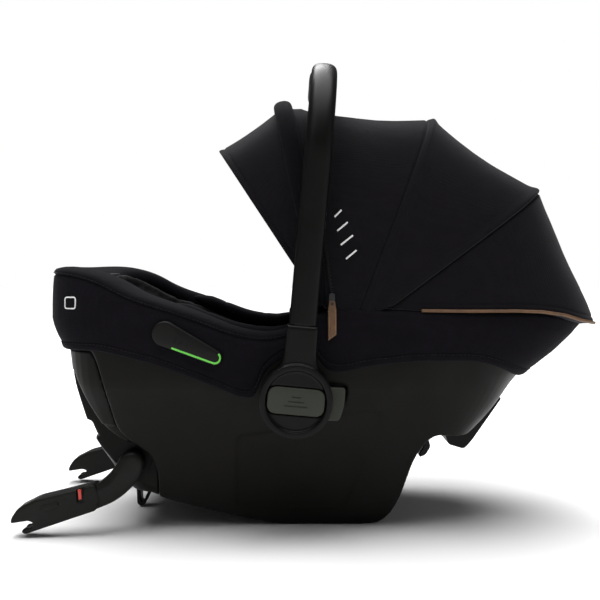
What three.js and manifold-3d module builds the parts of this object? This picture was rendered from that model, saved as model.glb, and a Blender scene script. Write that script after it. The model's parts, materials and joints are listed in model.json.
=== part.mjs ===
// Infant car seat: a hard shell with a foam liner and fabric covers, a carry handle that swings
// back, a canopy on three folding bows, a five-point harness and two fold-down anchor arms.
// Millimetres, +Z up. +X is the head end, -X the foot end, -Y the occupant's left.
import * as THREE from 'three';
import { mergeVertices } from 'three/addons/utils/BufferGeometryUtils.js';
import Module from 'manifold-3d';

const wasm = await Module();
wasm.setup();

// ---- driving dimensions -------------------------------------------------------------------
// x is measured from the handle axis until the whole seat is moved onto its origin at the end.
const ORIGIN_X = 17.19;        // middle of the length, ahead of the handle axis
const GAP = 0.3;               // clearance between touching pieces
const FABRIC = 3.5;            // padded cover cloth
const WALL = 5;                // moulded shell wall
const FOAM = 18;               // impact foam
const PAD = 12;                // seat padding
const HUB = { x: 0, z: 170 };  // handle axis
const HANDLE_REACH = 404;      // handle axis to the top of the bar
const HANDLE_TILT = 5.1;       // degrees back from upright
const HANDLE_OUTER = 220;      // half width over the handle rings
const BAR = { radial: 25, foreAft: 31, armThickness: 18, armY: 205, cornerRadius: 115 };
const RING_RADIUS = 41;
const CANOPY_PIVOT = { x: 84, z: 277 };
const CANOPY_HALF_WIDTH = 184;
const CANOPY_CLOTH = 2.5;
const ANCHOR_PIVOT = { x: -195, z: 85 };
const ANCHOR_SPACING = 280;    // lower anchor bars, centre to centre
const ANCHOR_WIDTH = 28;
const BELT_GUIDE_FACE = 188.2; // where the belt guides meet the side of the cover

// ---- materials ----------------------------------------------------------------------------
const finish = (color, roughness, metalness = 0) =>
  new THREE.MeshStandardMaterial({ color, roughness, metalness });
const SHELL_BLACK = [0x1e1e1c, 0.45];
const COVER_CLOTH = [0x18161b, 0.92];
const CANOPY_BLACK = [0x1c1b20, 0.88];
const HANDLE_BLACK = [0x3a3c38, 0.55];
const GRIP_BLACK = [0x2a2a2a, 0.8];
const BUTTON_GREY = [0x373c34, 0.5];
const TRIM_BLACK = [0x171717, 0.4];
const LEATHER = [0x784b2d, 0.6];
const GUIDE_GREEN = [0x5abe3c, 0.5];
const WEBBING = [0x141417, 0.85];
const BUCKLE_RED = [0xc02a22, 0.45];
const FOAM_GREY = [0x33343a, 0.9];
const STEEL = [0x8d8f92, 0.35, 0.9];

// ---- solids -------------------------------------------------------------------------------
function toSolid(geometry) {
  const bare = geometry.clone();
  bare.deleteAttribute('normal');
  bare.deleteAttribute('uv');
  const merged = mergeVertices(bare, 1e-3);
  const triVerts = new Uint32Array(merged.index.array);
  const vertProperties = new Float32Array(merged.attributes.position.array);
  const solid = new wasm.Manifold(new wasm.Mesh({ numProp: 3, vertProperties, triVerts }));
  if (solid.volume() > 0) return solid;
  for (let i = 0; i < triVerts.length; i += 3) {
    [triVerts[i], triVerts[i + 1]] = [triVerts[i + 1], triVerts[i]];
  }
  return new wasm.Manifold(new wasm.Mesh({ numProp: 3, vertProperties, triVerts }));
}

function toGeometry(solid) {
  const { numProp, vertProperties, triVerts } = solid.getMesh();
  const positions = new Float32Array((vertProperties.length / numProp) * 3);
  for (let i = 0; i < positions.length / 3; i++) {
    for (let k = 0; k < 3; k++) positions[3 * i + k] = vertProperties[numProp * i + k];
  }
  const geometry = new THREE.BufferGeometry();
  geometry.setAttribute('position', new THREE.BufferAttribute(positions, 3));
  geometry.setIndex(new THREE.BufferAttribute(new Uint32Array(triVerts), 1));
  geometry.computeVertexNormals();
  return geometry;
}

const join = (first, ...rest) => rest.reduce((a, b) => a.add(b), first);
const cut = (first, ...rest) => rest.reduce((a, b) => a.subtract(b), first);
const common = (first, ...rest) => rest.reduce((a, b) => a.intersect(b), first);

// A side-view outline: each point is [x, z] or [x, z, corner radius].
function sideOutline(points) {
  const shape = new THREE.Shape();
  const count = points.length;
  points.forEach(([x, z, radius = 0], i) => {
    const corner = new THREE.Vector2(x, z);
    const before = new THREE.Vector2(...points[(i + count - 1) % count].slice(0, 2));
    const after = new THREE.Vector2(...points[(i + 1) % count].slice(0, 2));
    const start = corner.clone().lerp(before, Math.min(0.5, radius / corner.distanceTo(before)));
    const end = corner.clone().lerp(after, Math.min(0.5, radius / corner.distanceTo(after)));
    if (i === 0) shape.moveTo(start.x, start.y);
    else shape.lineTo(start.x, start.y);
    if (radius > 0) shape.quadraticCurveTo(x, z, end.x, end.y);
  });
  shape.closePath();
  return shape;
}

// A side-view outline given thickness across the seat, from yLow to yHigh.
function plate(outline, yLow, yHigh, curveSegments = 3) {
  const shape = Array.isArray(outline) ? sideOutline(outline) : outline;
  const depth = yHigh - yLow;
  const geometry = new THREE.ExtrudeGeometry(shape, { depth, bevelEnabled: false, curveSegments });
  geometry.rotateX(Math.PI / 2);
  geometry.translate(0, yHigh, 0);
  return toSolid(geometry);
}

// The same, on one side of the seat: side is -1 (left) or +1 (right), distances from the middle.
function sidePlate(outline, side, inner, outer, curveSegments = 3) {
  const [low, high] = side > 0 ? [inner, outer] : [-outer, -inner];
  return plate(outline, low, high, curveSegments);
}

function disc(centre, radius, side, inner, outer, segments = 24) {
  const geometry = new THREE.CylinderGeometry(radius, radius, outer - inner, segments);
  geometry.translate(centre.x, side * (inner + outer) / 2, centre.z);
  return toSolid(geometry);
}

function capsule(from, to, radius) {
  const along = new THREE.Vector2(to.x - from.x, to.z - from.z).normalize();
  const angle = Math.atan2(along.y, along.x);
  const shape = new THREE.Shape();
  shape.absarc(to.x, to.z, radius, angle - Math.PI / 2, angle + Math.PI / 2, false);
  shape.absarc(from.x, from.z, radius, angle + Math.PI / 2, angle + 1.5 * Math.PI, false);
  shape.closePath();
  return shape;
}

// A closed skin over a stack of rings with equal point counts; each ring is convex.
function loft(rings) {
  const count = rings[0].length;
  const positions = rings.flat().flatMap((p) => [p.x, p.y, p.z]);
  const index = [];
  for (let i = 0; i + 1 < rings.length; i++) {
    for (let j = 0; j < count; j++) {
      const a = i * count + j;
      const b = i * count + ((j + 1) % count);
      index.push(a, b, b + count, a, b + count, a + count);
    }
  }
  const last = (rings.length - 1) * count;
  for (let j = 1; j + 1 < count; j++) {
    index.push(0, j + 1, j, last, last + j, last + j + 1);
  }
  const geometry = new THREE.BufferGeometry();
  geometry.setAttribute('position', new THREE.Float32BufferAttribute(positions, 3));
  geometry.setIndex(index);
  return toSolid(geometry);
}

// A closed slab between two grids of points of the same size.
function slab(outer, inner) {
  const rows = outer.length;
  const columns = outer[0].length;
  const positions = [...outer.flat(), ...inner.flat()].flatMap((p) => [p.x, p.y, p.z]);
  const at = (layer, i, j) => (layer * rows + i) * columns + j;
  const index = [];
  const quad = (a, b, c, d) => index.push(a, b, c, a, c, d);
  for (let i = 0; i + 1 < rows; i++) {
    for (let j = 0; j + 1 < columns; j++) {
      quad(at(0, i, j), at(0, i + 1, j), at(0, i + 1, j + 1), at(0, i, j + 1));
      quad(at(1, i, j), at(1, i, j + 1), at(1, i + 1, j + 1), at(1, i + 1, j));
    }
    quad(at(0, i, 0), at(1, i, 0), at(1, i + 1, 0), at(0, i + 1, 0));
    const end = columns - 1;
    quad(at(0, i, end), at(0, i + 1, end), at(1, i + 1, end), at(1, i, end));
  }
  for (let j = 0; j + 1 < columns; j++) {
    const end = rows - 1;
    quad(at(0, 0, j), at(0, 0, j + 1), at(1, 0, j + 1), at(1, 0, j));
    quad(at(0, end, j), at(1, end, j), at(1, end, j + 1), at(0, end, j + 1));
  }
  const geometry = new THREE.BufferGeometry();
  geometry.setAttribute('position', new THREE.Float32BufferAttribute(positions, 3));
  geometry.setIndex(index);
  return toSolid(geometry);
}

// A bar of rectangular section with clipped corners, carried along a path in one plane.
function bar(path, planeNormal, halfAcross, halfThick, clip = 0.3) {
  const rings = path.map((point, i) => {
    const before = path[Math.max(0, i - 1)];
    const after = path[Math.min(path.length - 1, i + 1)];
    const along = after.clone().sub(before).normalize();
    const out = new THREE.Vector3().crossVectors(along, planeNormal).normalize();
    const across = typeof halfAcross === 'function' ? halfAcross(i / (path.length - 1)) : halfAcross;
    const thick = typeof halfThick === 'function' ? halfThick(i / (path.length - 1)) : halfThick;
    const c = Math.min(across, thick) * clip * 2;
    const corners = clip === 0 ? [
      [across, -thick], [across, thick], [-across, thick], [-across, -thick],
    ] : [
      [across, -thick + c], [across, thick - c], [across - c, thick], [c - across, thick],
      [-across, thick - c], [-across, c - thick], [c - across, -thick], [across - c, -thick],
    ];
    return corners.map(([a, b]) =>
      point.clone().addScaledVector(planeNormal, a).addScaledVector(out, b));
  });
  return loft(rings);
}

// Straight-line interpolation through [key, value] pairs.
function profile(pairs) {
  return (key) => {
    if (key <= pairs[0][0]) return pairs[0][1];
    for (let i = 1; i < pairs.length; i++) {
      const [k0, v0] = pairs[i - 1];
      const [k1, v1] = pairs[i];
      if (key <= k1) return v0 + ((v1 - v0) * (key - k0)) / (k1 - k0);
    }
    return pairs[pairs.length - 1][1];
  };
}

// ---- the tub that shell, foam, padding and covers share -------------------------------------
const TUB_LEVELS = [0, 45, 89, 118, 150, 185, 222, 262, 330];
const halfWidth = profile([
  [0, 92], [45, 124], [89, 147], [118, 161], [150, 174], [185, 183.5], [222, 184], [262, 183],
  [330, 181],
]);
const footEnd = profile([
  [0, -120], [45, -205], [89, -227], [118, -242], [150, -253], [185, -263], [222, -268],
  [262, -279], [330, -279],
]);
const headEnd = profile([
  [0, 150], [45, 165], [89, 190], [118, 222], [150, 249], [185, 273], [222, 317], [262, 352],
  [330, 354],
]);
const TUB_MIDDLE = -10;
const CORNER_POWER = 2;
const superCurve = (value, power) => Math.sign(value) * Math.abs(value) ** (CORNER_POWER / power);

// One plan section: square-cornered at the foot end, round at the head end.
function tubRing(z, inset, headInset = inset, perQuarter = 7) {
  const ring = [];
  for (let i = 0; i < 4 * perQuarter; i++) {
    const angle = (2 * Math.PI * i) / (4 * perQuarter);
    const head = Math.cos(angle) > -1e-9;
    const power = head ? 4.5 : 7;
    const reach = head ? headEnd(z) - headInset - TUB_MIDDLE : TUB_MIDDLE - footEnd(z) - inset;
    ring.push(new THREE.Vector3(
      TUB_MIDDLE + reach * superCurve(Math.cos(angle), power),
      (halfWidth(z) - inset) * superCurve(Math.sin(angle), power),
      z,
    ));
  }
  return ring;
}

const tub = (inset, headInset = inset) =>
  loft(TUB_LEVELS.map((z) => tubRing(z, inset, headInset)));

const FAR = 420;   // beyond the seat in any direction
const above = (line) => plate([...line, [FAR, FAR], [-FAR, FAR]], -FAR, FAR);
const below = (line) => plate([...line, [FAR, -FAR], [-FAR, -FAR]], -FAR, FAR);
const raise = (line, by) => line.map(([x, z, radius = 0]) => [x, z + by, radius]);

// The top edge of the seat sides: high at the feet, low beside the handle, level at the head.
const CREST = [
  [-FAR, 320], [-266, 320], [-226, 310, 20], [-190, 290], [-125, 270], [-65, 247, 20],
  [-22, 243, 12], [20, 262, 20], [52, 274], [111, 271], [197, 267], [310, 262], [FAR, 258],
];
const RIM_DROP = 8;
const RIM = raise(CREST, -RIM_DROP);
// The line that the occupant's back and legs lie along, under the padding.
const SEAT_LINE = [
  [-FAR, 268], [-262, 262], [-225, 228, 20], [-150, 150, 30], [-80, 112, 30], [-20, 102, 30],
  [60, 122, 20], [150, 165], [250, 214, 20], [310, 244], [FAR, 270],
];
// The front panel's place in the shell.
const PANEL_REGION = [
  [-FAR, 30], [-166, 30], [-165, 74], [-171, 97], [-196, 117, 6], [-209, 130, 8], [-217, 165],
  [-228, 205], [-236, 222], [-FAR, 222],
];
const FRONT_HEM = [
  [-FAR, 222.5], [-268, 223], [-222, 223, 12], [-156, 207], [-95, 184], [-64, 170, 6],
  [-48, 169, 4], [-36, 200, 6], [-14, 217, 8], [40, 217], [FAR, 217],
];
const REAR_HEM = [
  [-FAR, 216], [24, 216], [35, 201, 5], [53, 199, 8], [81, 206], [141, 212], [207, 211, 10],
  [236, 202], [262, 188, 6], [FAR, 188],
];
const COVER_SPLIT = 6;

// The room for each side of the canopy's bow mount, and for the rear bow folded down beside it.
const mountPocket = (side) => sidePlate(
  [[66, 258], [124, 258], [128, 263], [192, 268], [192, 300], [66, 300]],
  side, 164, CANOPY_HALF_WIDTH + 1);
const bothSides = (make) => [-1, 1].map(make);

// ---- hub bases (fixed bosses that the handle rings turn on) --------------------------------
const HUB_BASE = { radius: 36, inner: 172, outer: 194.6 };
const TAB_OUTLINE = [[30, 151.5, 6], [49, 151.5, 8], [56, 170, 12], [49, 188.5, 8], [30, 188.5, 6]];
const TAB_SURROUND = [[0, 146, 8], [53, 146, 9], [62, 170, 14], [53, 194, 9], [0, 194, 8]];
const TAB_TRAVEL = 3.5;
const TAB_FACE = 194.4;

function hubBase(side) {
  const boss = disc(HUB, HUB_BASE.radius, side, HUB_BASE.inner, HUB_BASE.outer);
  const surround = sidePlate(TAB_SURROUND, side, HUB_BASE.inner, 190);
  const pocket = sidePlate(growOutline(TAB_OUTLINE, 0.5), side, 180, 200);
  return cut(join(boss, surround), pocket);
}

// Moves every point of an outline away from the outline's middle.
function growOutline(points, by) {
  const middleX = points.reduce((sum, p) => sum + p[0], 0) / points.length;
  const middleZ = points.reduce((sum, p) => sum + p[1], 0) / points.length;
  return points.map(([x, z, radius = 0]) => {
    const dx = x - middleX;
    const dz = z - middleZ;
    return [x + by * 1.5 * Math.sign(dx), z + by * 1.5 * Math.sign(dz), radius];
  });
}

const hubClearance = (side) => join(
  disc(HUB, HUB_BASE.radius + GAP, side, HUB_BASE.inner - 6, 230),
  sidePlate(growOutline(TAB_SURROUND, GAP), side, HUB_BASE.inner - 6, 230),
);

// ---- shell, foam, padding and covers --------------------------------------------------------
const SHELL_OUTLINE = [
  [-20, 0, 10], [103, 0, 8], [117, 14], [127, 36], [140, 87], [151, 110, 8], [165, 121, 6],
  [200, 115, 10], [FAR, 120], [FAR, 330], [-FAR, 330], [-FAR, 45], [-176, 45], [-155, 36],
  [-101, 20], [-50, 6],
];
const SHELL_FLOOR = [
  [-FAR, 60], [-160, 48], [-101, 30], [-45, 14], [95, 12], [112, 24], [122, 45], [134, 92],
  [147, 120, 8], [168, 131, 6], [200, 126], [FAR, 130],
];

function outerShell() {
  const body = common(tub(0), plate(SHELL_OUTLINE, -FAR, FAR), below(RIM));
  const hollow = common(tub(WALL), above(SHELL_FLOOR));
  const sidePanel = bothSides((side) => sidePlate(
    [[75, 44], [132, 152, 14], [108, 152, 10], [20, 60, 8]], side, 150, 200));
  const shallow = sidePanel.map((panel) => common(panel, cut(tub(-2), tub(1.2))));
  return cut(body, hollow, plate(PANEL_REGION, -FAR, FAR), ...bothSides(hubClearance),
    ...bothSides(mountPocket), ...shallow, hookSlot(), rearReleaseSlot());
}

const ARM_BAY = [
  [-FAR, 20], [-160, 20], [-160, 110], [-202, 113, 6], [-224, 128, 6], [-244, 160, 8], [-262, 196],
  [-FAR, 196],
];

const shaftRoom = () => disc(ANCHOR_PIVOT, 8, 1, -160, 160, 16);

function frontPanel() {
  const region = plate(raise(PANEL_REGION, -GAP), -FAR, FAR);
  const trimmed = region.translate([-GAP, 0, 0]);
  const body = common(tub(3, 3), trimmed, plate(SHELL_OUTLINE, -FAR, FAR));
  const band = common(
    cut(tub(-5), tub(6)), plate([[-FAR, 112], [-100, 112], [-100, 134], [-FAR, 134]], -118, 118));
  const bays = bothSides((side) => sidePlate(ARM_BAY, side, 122, 200));
  return cut(body, tub(26), band, ...bays, footSocket(), shaftRoom());
}

function foamLiner() {
  const body = common(tub(WALL + GAP), above(raise(SEAT_LINE, -26)), below(raise(RIM, -GAP)));
  const seat = common(tub(WALL + GAP + FOAM), above(SEAT_LINE));
  const floorClear = above(raise(SHELL_FLOOR, GAP));
  const panelClear = plate(raise(PANEL_REGION, GAP), -FAR, FAR).translate([GAP, 0, 0]);
  return cut(common(body, floorClear), seat, panelClear, ...bothSides(hubClearance),
    ...bothSides(mountPocket));
}

function paddingLayer(inset, bottomRise, thickness, topLine) {
  const body = common(tub(inset), above(raise(SEAT_LINE, bottomRise)), below(topLine));
  const inside = common(tub(inset + thickness), above(raise(SEAT_LINE, bottomRise + thickness)));
  return cut(body, inside);
}

const PAD_INSET = WALL + GAP + FOAM + GAP;
const INSERT_TOP = [
  [-92, -FAR + 1], [-92, 100], [-74, 160, 20], [-30, 214, 20], [60, 232], [180, 240], [280, 252],
  [FAR, 262],
];
const seatPad = () => cut(
  paddingLayer(PAD_INSET, GAP, PAD, raise(RIM, -GAP)), ...bothSides(mountPocket));
const INSERT_INSET = PAD_INSET + PAD + GAP;
const INSERT_RISE = GAP + PAD + GAP;
const INSERT_THICKNESS = 16;
const crotchSlot = () => plate([[-110, 100], [-57, 100], [-57, 160], [-110, 160]], -21, 21);
const seatInsert = () => cut(
  paddingLayer(INSERT_INSET, INSERT_RISE, INSERT_THICKNESS, INSERT_TOP), crotchSlot());
const HEAD_TOP = [
  [128, -FAR + 1], [128, 150], [134, 196, 14], [160, 226, 20], [290, 240], [FAR, 250],
];
const headSupport = () => paddingLayer(
  INSERT_INSET + INSERT_THICKNESS + GAP, INSERT_RISE + INSERT_THICKNESS + GAP, 18, HEAD_TOP);

function coverPiece(hem, fromX, toX, outerInset, headInset) {
  const skin = common(tub(outerInset, headInset), above(hem), below(CREST),
    plate([[fromX, 100], [toX, 100], [toX, FAR], [fromX, FAR]], -FAR, FAR));
  const under = common(tub(-GAP), below(raise(RIM, GAP)));
  const opening = tub(PAD_INSET + PAD);
  return cut(skin, under, opening, ...bothSides(mountPocket));
}

const frontCover = () => coverPiece(FRONT_HEM, -FAR, COVER_SPLIT - GAP, -FABRIC, -FABRIC);
const rearCover = () => coverPiece(REAR_HEM, COVER_SPLIT, FAR, -FABRIC, -9);

// ---- belt guides ---------------------------------------------------------------------------
const GUIDE = {
  start: { x: -149, z: 243 }, end: { x: -92, z: 216 }, startRadius: 14.5, endRadius: 8.5,
};

function guideShape(shrink = 0) {
  const { start, end } = GUIDE;
  const startRadius = GUIDE.startRadius - shrink;
  const endRadius = GUIDE.endRadius - shrink;
  const length = Math.hypot(end.x - start.x, end.z - start.z);
  const angle = Math.atan2(end.z - start.z, end.x - start.x);
  const lean = Math.acos((startRadius - endRadius) / length);
  const shape = new THREE.Shape();
  shape.absarc(start.x, start.z, startRadius, angle + lean, angle - lean + 2 * Math.PI, false);
  shape.absarc(end.x, end.z, endRadius, angle - lean, angle + lean, false);
  shape.closePath();
  return shape;
}

const GUIDE_TRIM_DEPTH = 2;
function guideTrimShape(side, inner, outer) {
  const rim = cut(sidePlate(guideShape(1.2), side, inner, outer, 8),
    sidePlate(guideShape(4), side, inner - 1, outer + 1, 8));
  const lowerHalf = sidePlate(
    [[-136, 226], [-104, 214], [-92, 216], [-86, 232], [-60, 232], [-60, 190], [-150, 190]],
    side, inner - 1, outer + 1);
  return common(rim, lowerHalf);
}
const beltGuide = (side) => cut(
  sidePlate(guideShape(), side, BELT_GUIDE_FACE, BELT_GUIDE_FACE + 5.5, 8),
  guideTrimShape(side, BELT_GUIDE_FACE + 5.5 - GUIDE_TRIM_DEPTH, BELT_GUIDE_FACE + 8));
const beltGuideTrim = (side) => guideTrimShape(
  side, BELT_GUIDE_FACE + 5.5 - GUIDE_TRIM_DEPTH + GAP, BELT_GUIDE_FACE + 6.2);

// ---- handle --------------------------------------------------------------------------------
const handleLean = new THREE.Matrix4().makeRotationY(THREE.MathUtils.degToRad(HANDLE_TILT));
const HANDLE_FORE = new THREE.Vector3(1, 0, 0);
const GRIP_HALF = 62;
const SOCKET_TOP = 84;

// Turns a solid about the handle axis by the handle's lean.
function leanBack(solid) {
  const turned = toGeometry(solid);
  turned.translate(-HUB.x, 0, -HUB.z);
  turned.applyMatrix4(handleLean);
  turned.translate(HUB.x, 0, HUB.z);
  return toSolid(turned);
}

// The bar's centre line, from the left arm over the top to the right arm.
function handlePath(fromHeight) {
  const top = HANDLE_REACH - BAR.radial / 2;
  const radius = BAR.cornerRadius;
  const steps = 7;
  const right = [];
  for (let i = 0; i <= steps; i++) {
    const angle = (Math.PI / 2) * (i / steps);
    right.push(new THREE.Vector3(
      0,
      BAR.armY - radius + radius * Math.cos(angle),
      HUB.z + top - radius + radius * Math.sin(angle),
    ));
  }
  right.unshift(new THREE.Vector3(0, BAR.armY, HUB.z + fromHeight));
  const left = right.map((p) => new THREE.Vector3(p.x, -p.y, p.z));
  return [...left, ...right.reverse()];
}

function handleTube() {
  const path = handlePath(SOCKET_TOP + GAP);
  const thick = (t) => (Math.abs(t - 0.5) > 0.44 ? BAR.armThickness / 2 : BAR.radial / 2);
  const barSolid = bar(path, HANDLE_FORE, BAR.foreAft / 2, thick, 0.22);
  const gripGap = toSolid(new THREE.BoxGeometry(60, 2 * GRIP_HALF + 2 * GAP, 60)
    .translate(0, 0, HUB.z + HANDLE_REACH - BAR.radial / 2));
  const core = toSolid(new THREE.BoxGeometry(20, 2 * GRIP_HALF + 20, 14)
    .translate(0, 0, HUB.z + HANDLE_REACH - BAR.radial / 2));
  return leanBack(join(cut(barSolid, gripGap), core));
}

function handleGrip() {
  const centreZ = HUB.z + HANDLE_REACH - BAR.radial / 2;
  const path = [-1, 1].map((side) => new THREE.Vector3(0, side * GRIP_HALF, centreZ));
  const sleeve = bar(path, HANDLE_FORE, BAR.foreAft / 2 + 2, BAR.radial / 2, 0.25);
  const bore = toSolid(new THREE.BoxGeometry(20.6, 3 * GRIP_HALF, 14.6).translate(0, 0, centreZ));
  return leanBack(cut(sleeve, bore));
}

const BUTTON = { halfLength: 32, halfHeight: 15, corner: 11, face: 219.2, back: 209, travel: 6 };
const buttonOutline = (grow) => {
  const a = BUTTON.halfLength + grow;
  const b = BUTTON.halfHeight + grow;
  const { x, z } = HUB;
  const r = BUTTON.corner;
  return [[x - a, z - b, r], [x + a, z - b, r], [x + a, z + b, r], [x - a, z + b, r]];
};

function handleSocket(side) {
  const ring = disc(HUB, RING_RADIUS, side, HUB_BASE.outer + GAP, HANDLE_OUTER, 32);
  const recess = disc(HUB, 34, side, HANDLE_OUTER - 3.5, HANDLE_OUTER + 2, 28);
  const collar = sidePlate([
    [HUB.x - 27, HUB.z + 30, 6], [HUB.x + 27, HUB.z + 30, 6],
    [HUB.x + 17.5, HUB.z + SOCKET_TOP, 3], [HUB.x - 17.5, HUB.z + SOCKET_TOP, 3],
  ], side, 195.4, 216.5);
  const pocket = sidePlate(buttonOutline(0.5), side, BUTTON.back - BUTTON.travel - 1, 230, 4);
  return leanBack(cut(join(ring, collar), recess, pocket));
}

const handleButton = (side) => leanBack(
  sidePlate(buttonOutline(0), side, BUTTON.back, BUTTON.face, 4));

// ---- canopy --------------------------------------------------------------------------------
const STEPS_ACROSS = 16;
const FOOT_ANGLE = 0.005;

// A flat-topped arch standing on the canopy's side at base, leaning at an angle from level.
function archPoint(arch, t, inward = 0, droop = 0) {
  const angle = FOOT_ANGLE + (Math.PI - 2 * FOOT_ANGLE) * t;
  const lean = THREE.MathUtils.degToRad(arch.lean);
  const power = arch.power ?? 4.5;
  const rise = (arch.reach - inward - droop) * superCurve(Math.sin(angle), power);
  const width = (arch.halfWidth ?? CANOPY_HALF_WIDTH) - inward;
  return new THREE.Vector3(
    arch.x + rise * Math.cos(lean),
    -width * superCurve(Math.cos(angle), power),
    arch.z + rise * Math.sin(lean),
  );
}

// Cloth stretched from one arch to the next, sagging between them.
function clothGrid(from, to, sag, inward, steps, start = 0) {
  const grid = [];
  for (let i = 0; i <= steps; i++) {
    const s = i / steps;
    const row = [];
    for (let j = 0; j <= STEPS_ACROSS; j++) {
      const t = start + (1 - 2 * start) * (j / STEPS_ACROSS);
      const droop = sag * 4 * s * (1 - s);
      row.push(archPoint(from, t, inward, droop).lerp(archPoint(to, t, inward, droop), s));
    }
    grid.push(row);
  }
  return grid;
}

const clothPanel = (from, to, sag, steps, start = 0) => slab(
  clothGrid(from, to, sag, 0, steps, start), clothGrid(from, to, sag, CANOPY_CLOTH, steps, start));

const RIM_ARCH = { x: 49, z: 281, lean: 105.5, reach: 250 };
const FRONT_ARCH = { x: 57, z: 281, lean: 101.5, reach: 240 };
const RIDGE_ARCH = { x: 83, z: 279, lean: 69.1, reach: 241 };
const RIDGE_FRONT = { ...RIDGE_ARCH, x: 82.6, lean: 69.3 };
const REAR_RIDGE = { x: 108, z: 278, lean: 34.6, reach: 225, power: 6 };
const REAR_RIDGE_FRONT = { ...REAR_RIDGE, x: 107.5, lean: 34.9 };
const REAR_EDGE = { x: 122, z: 275.5, lean: -0.9, reach: 244, power: 5 };
const VISOR_ROOT = { x: 40, z: 287, lean: 108.2, reach: 234, halfWidth: 180 };
const VISOR_EDGE = { x: 26, z: 287, lean: 124.6, reach: 215, halfWidth: 178 };

const canopyFrontPanel = () => clothPanel(FRONT_ARCH, RIDGE_FRONT, 6, 3);
const canopyMiddlePanel = () => clothPanel(RIDGE_ARCH, REAR_RIDGE_FRONT, 6, 3);
const canopyRearPanel = () => clothPanel(REAR_RIDGE, REAR_EDGE, -7, 3);
const canopyVisor = () => clothPanel(VISOR_ROOT, VISOR_EDGE, 2, 2, 0.03);

function canopyRim() {
  const lean = THREE.MathUtils.degToRad(RIM_ARCH.lean);
  const normal = new THREE.Vector3(-Math.sin(lean), 0, Math.cos(lean));
  const path = [];
  for (let j = 0; j <= STEPS_ACROSS; j++) path.push(archPoint(RIM_ARCH, j / STEPS_ACROSS));
  const half = (t) => 4 + 7 * Math.sin(Math.PI * t) ** 0.7;
  return bar(path, normal, (t) => half(t), (t) => Math.min(6, half(t)), 0.29);
}

const PIPING_PROUD = 1.6;
function canopyPiping() {
  const top = { ...REAR_EDGE, z: REAR_EDGE.z - GAP, lean: -1 };
  const bottom = { ...REAR_EDGE, z: REAR_EDGE.z - 1.2, lean: -2.6 };
  return slab(clothGrid(top, bottom, 0, -PIPING_PROUD, 1, 0.02),
    clothGrid(top, bottom, 0, CANOPY_CLOTH, 1, 0.02));
}

// Flat bows under the cloth, nested one inside the other on a common pin.
const BOW = { thickness: 2.5, halfBreadth: 3.5, eyeRadius: 7, pinRadius: 3 };
function canopyBow(arch, outerY) {
  const lean = THREE.MathUtils.degToRad(arch.lean);
  const normal = new THREE.Vector3(-Math.sin(lean), 0, Math.cos(lean));
  const inner = { ...arch, halfWidth: outerY - BOW.thickness / 2 };
  const path = [];
  for (let j = 0; j <= STEPS_ACROSS; j++) path.push(archPoint(inner, j / STEPS_ACROSS));
  const strip = bar(path, normal, BOW.halfBreadth, BOW.thickness / 2, 0);
  const feet = bothSides((side) => sidePlate(
    capsule(CANOPY_PIVOT, path[0], BOW.halfBreadth), side, outerY - BOW.thickness, outerY, 4));
  const eyes = bothSides((side) =>
    disc(CANOPY_PIVOT, BOW.eyeRadius, side, outerY - BOW.thickness, outerY, 12));
  const pins = bothSides((side) => disc(CANOPY_PIVOT, BOW.pinRadius + GAP, side, 160, 190, 8));
  return cut(join(strip, ...feet, ...eyes), ...pins);
}
const UNDER_CLOTH = CANOPY_CLOTH + 6;
const bowUnder = (arch, shift) => ({
  ...arch, x: arch.x + shift.x, lean: arch.lean + shift.lean, reach: arch.reach - UNDER_CLOTH,
});
const canopyFrontBow = () => canopyBow(bowUnder(FRONT_ARCH, { x: 2, lean: -1.6 }), 180.6);
const canopyMiddleBow = () => canopyBow(bowUnder(RIDGE_ARCH, { x: 0, lean: 0 }), 177);
const canopyRearBow = () => canopyBow(bowUnder(REAR_RIDGE, { x: 0, lean: 0 }), 173.4);

function canopyMount(side) {
  const plateSolid = sidePlate(
    [[70, 260, 3], [98, 260, 3], [93, 286, 8], [75, 286, 8]], side, 165, 169.8);
  return join(plateSolid, disc(CANOPY_PIVOT, BOW.pinRadius, side, 165, 181.2, 12));
}

// Leather zip pull hanging from its slider, just behind the handle arm.
const PULL = { x: 41, top: 277, length: 42, width: 10, face: 189.4 };
const zipperPull = (side) => cut(
  sidePlate([
    [PULL.x - 3, PULL.top + 4, 1.5], [PULL.x + 3, PULL.top + 4, 1.5], [PULL.x + 5, PULL.top - 8, 2],
    [PULL.x + 5, PULL.top - PULL.length + 8, 1], [PULL.x - 5, PULL.top - PULL.length, 1],
    [PULL.x - 5, PULL.top - 8, 2],
  ], side, PULL.face, PULL.face + 2.2),
  disc({ x: PULL.x, z: PULL.top }, 1.8, side, PULL.face - 1, PULL.face + 4, 12));
const zipperSlider = (side) => join(
  sidePlate([
    [PULL.x - 4, PULL.top - 5, 2], [PULL.x + 4, PULL.top - 5, 2], [PULL.x + 3, PULL.top + 12, 2],
    [PULL.x - 3, PULL.top + 12, 2],
  ], side, 188.1, PULL.face - GAP),
  disc({ x: PULL.x, z: PULL.top }, 1.3, side, 188.1, PULL.face + 3, 12));

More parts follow.
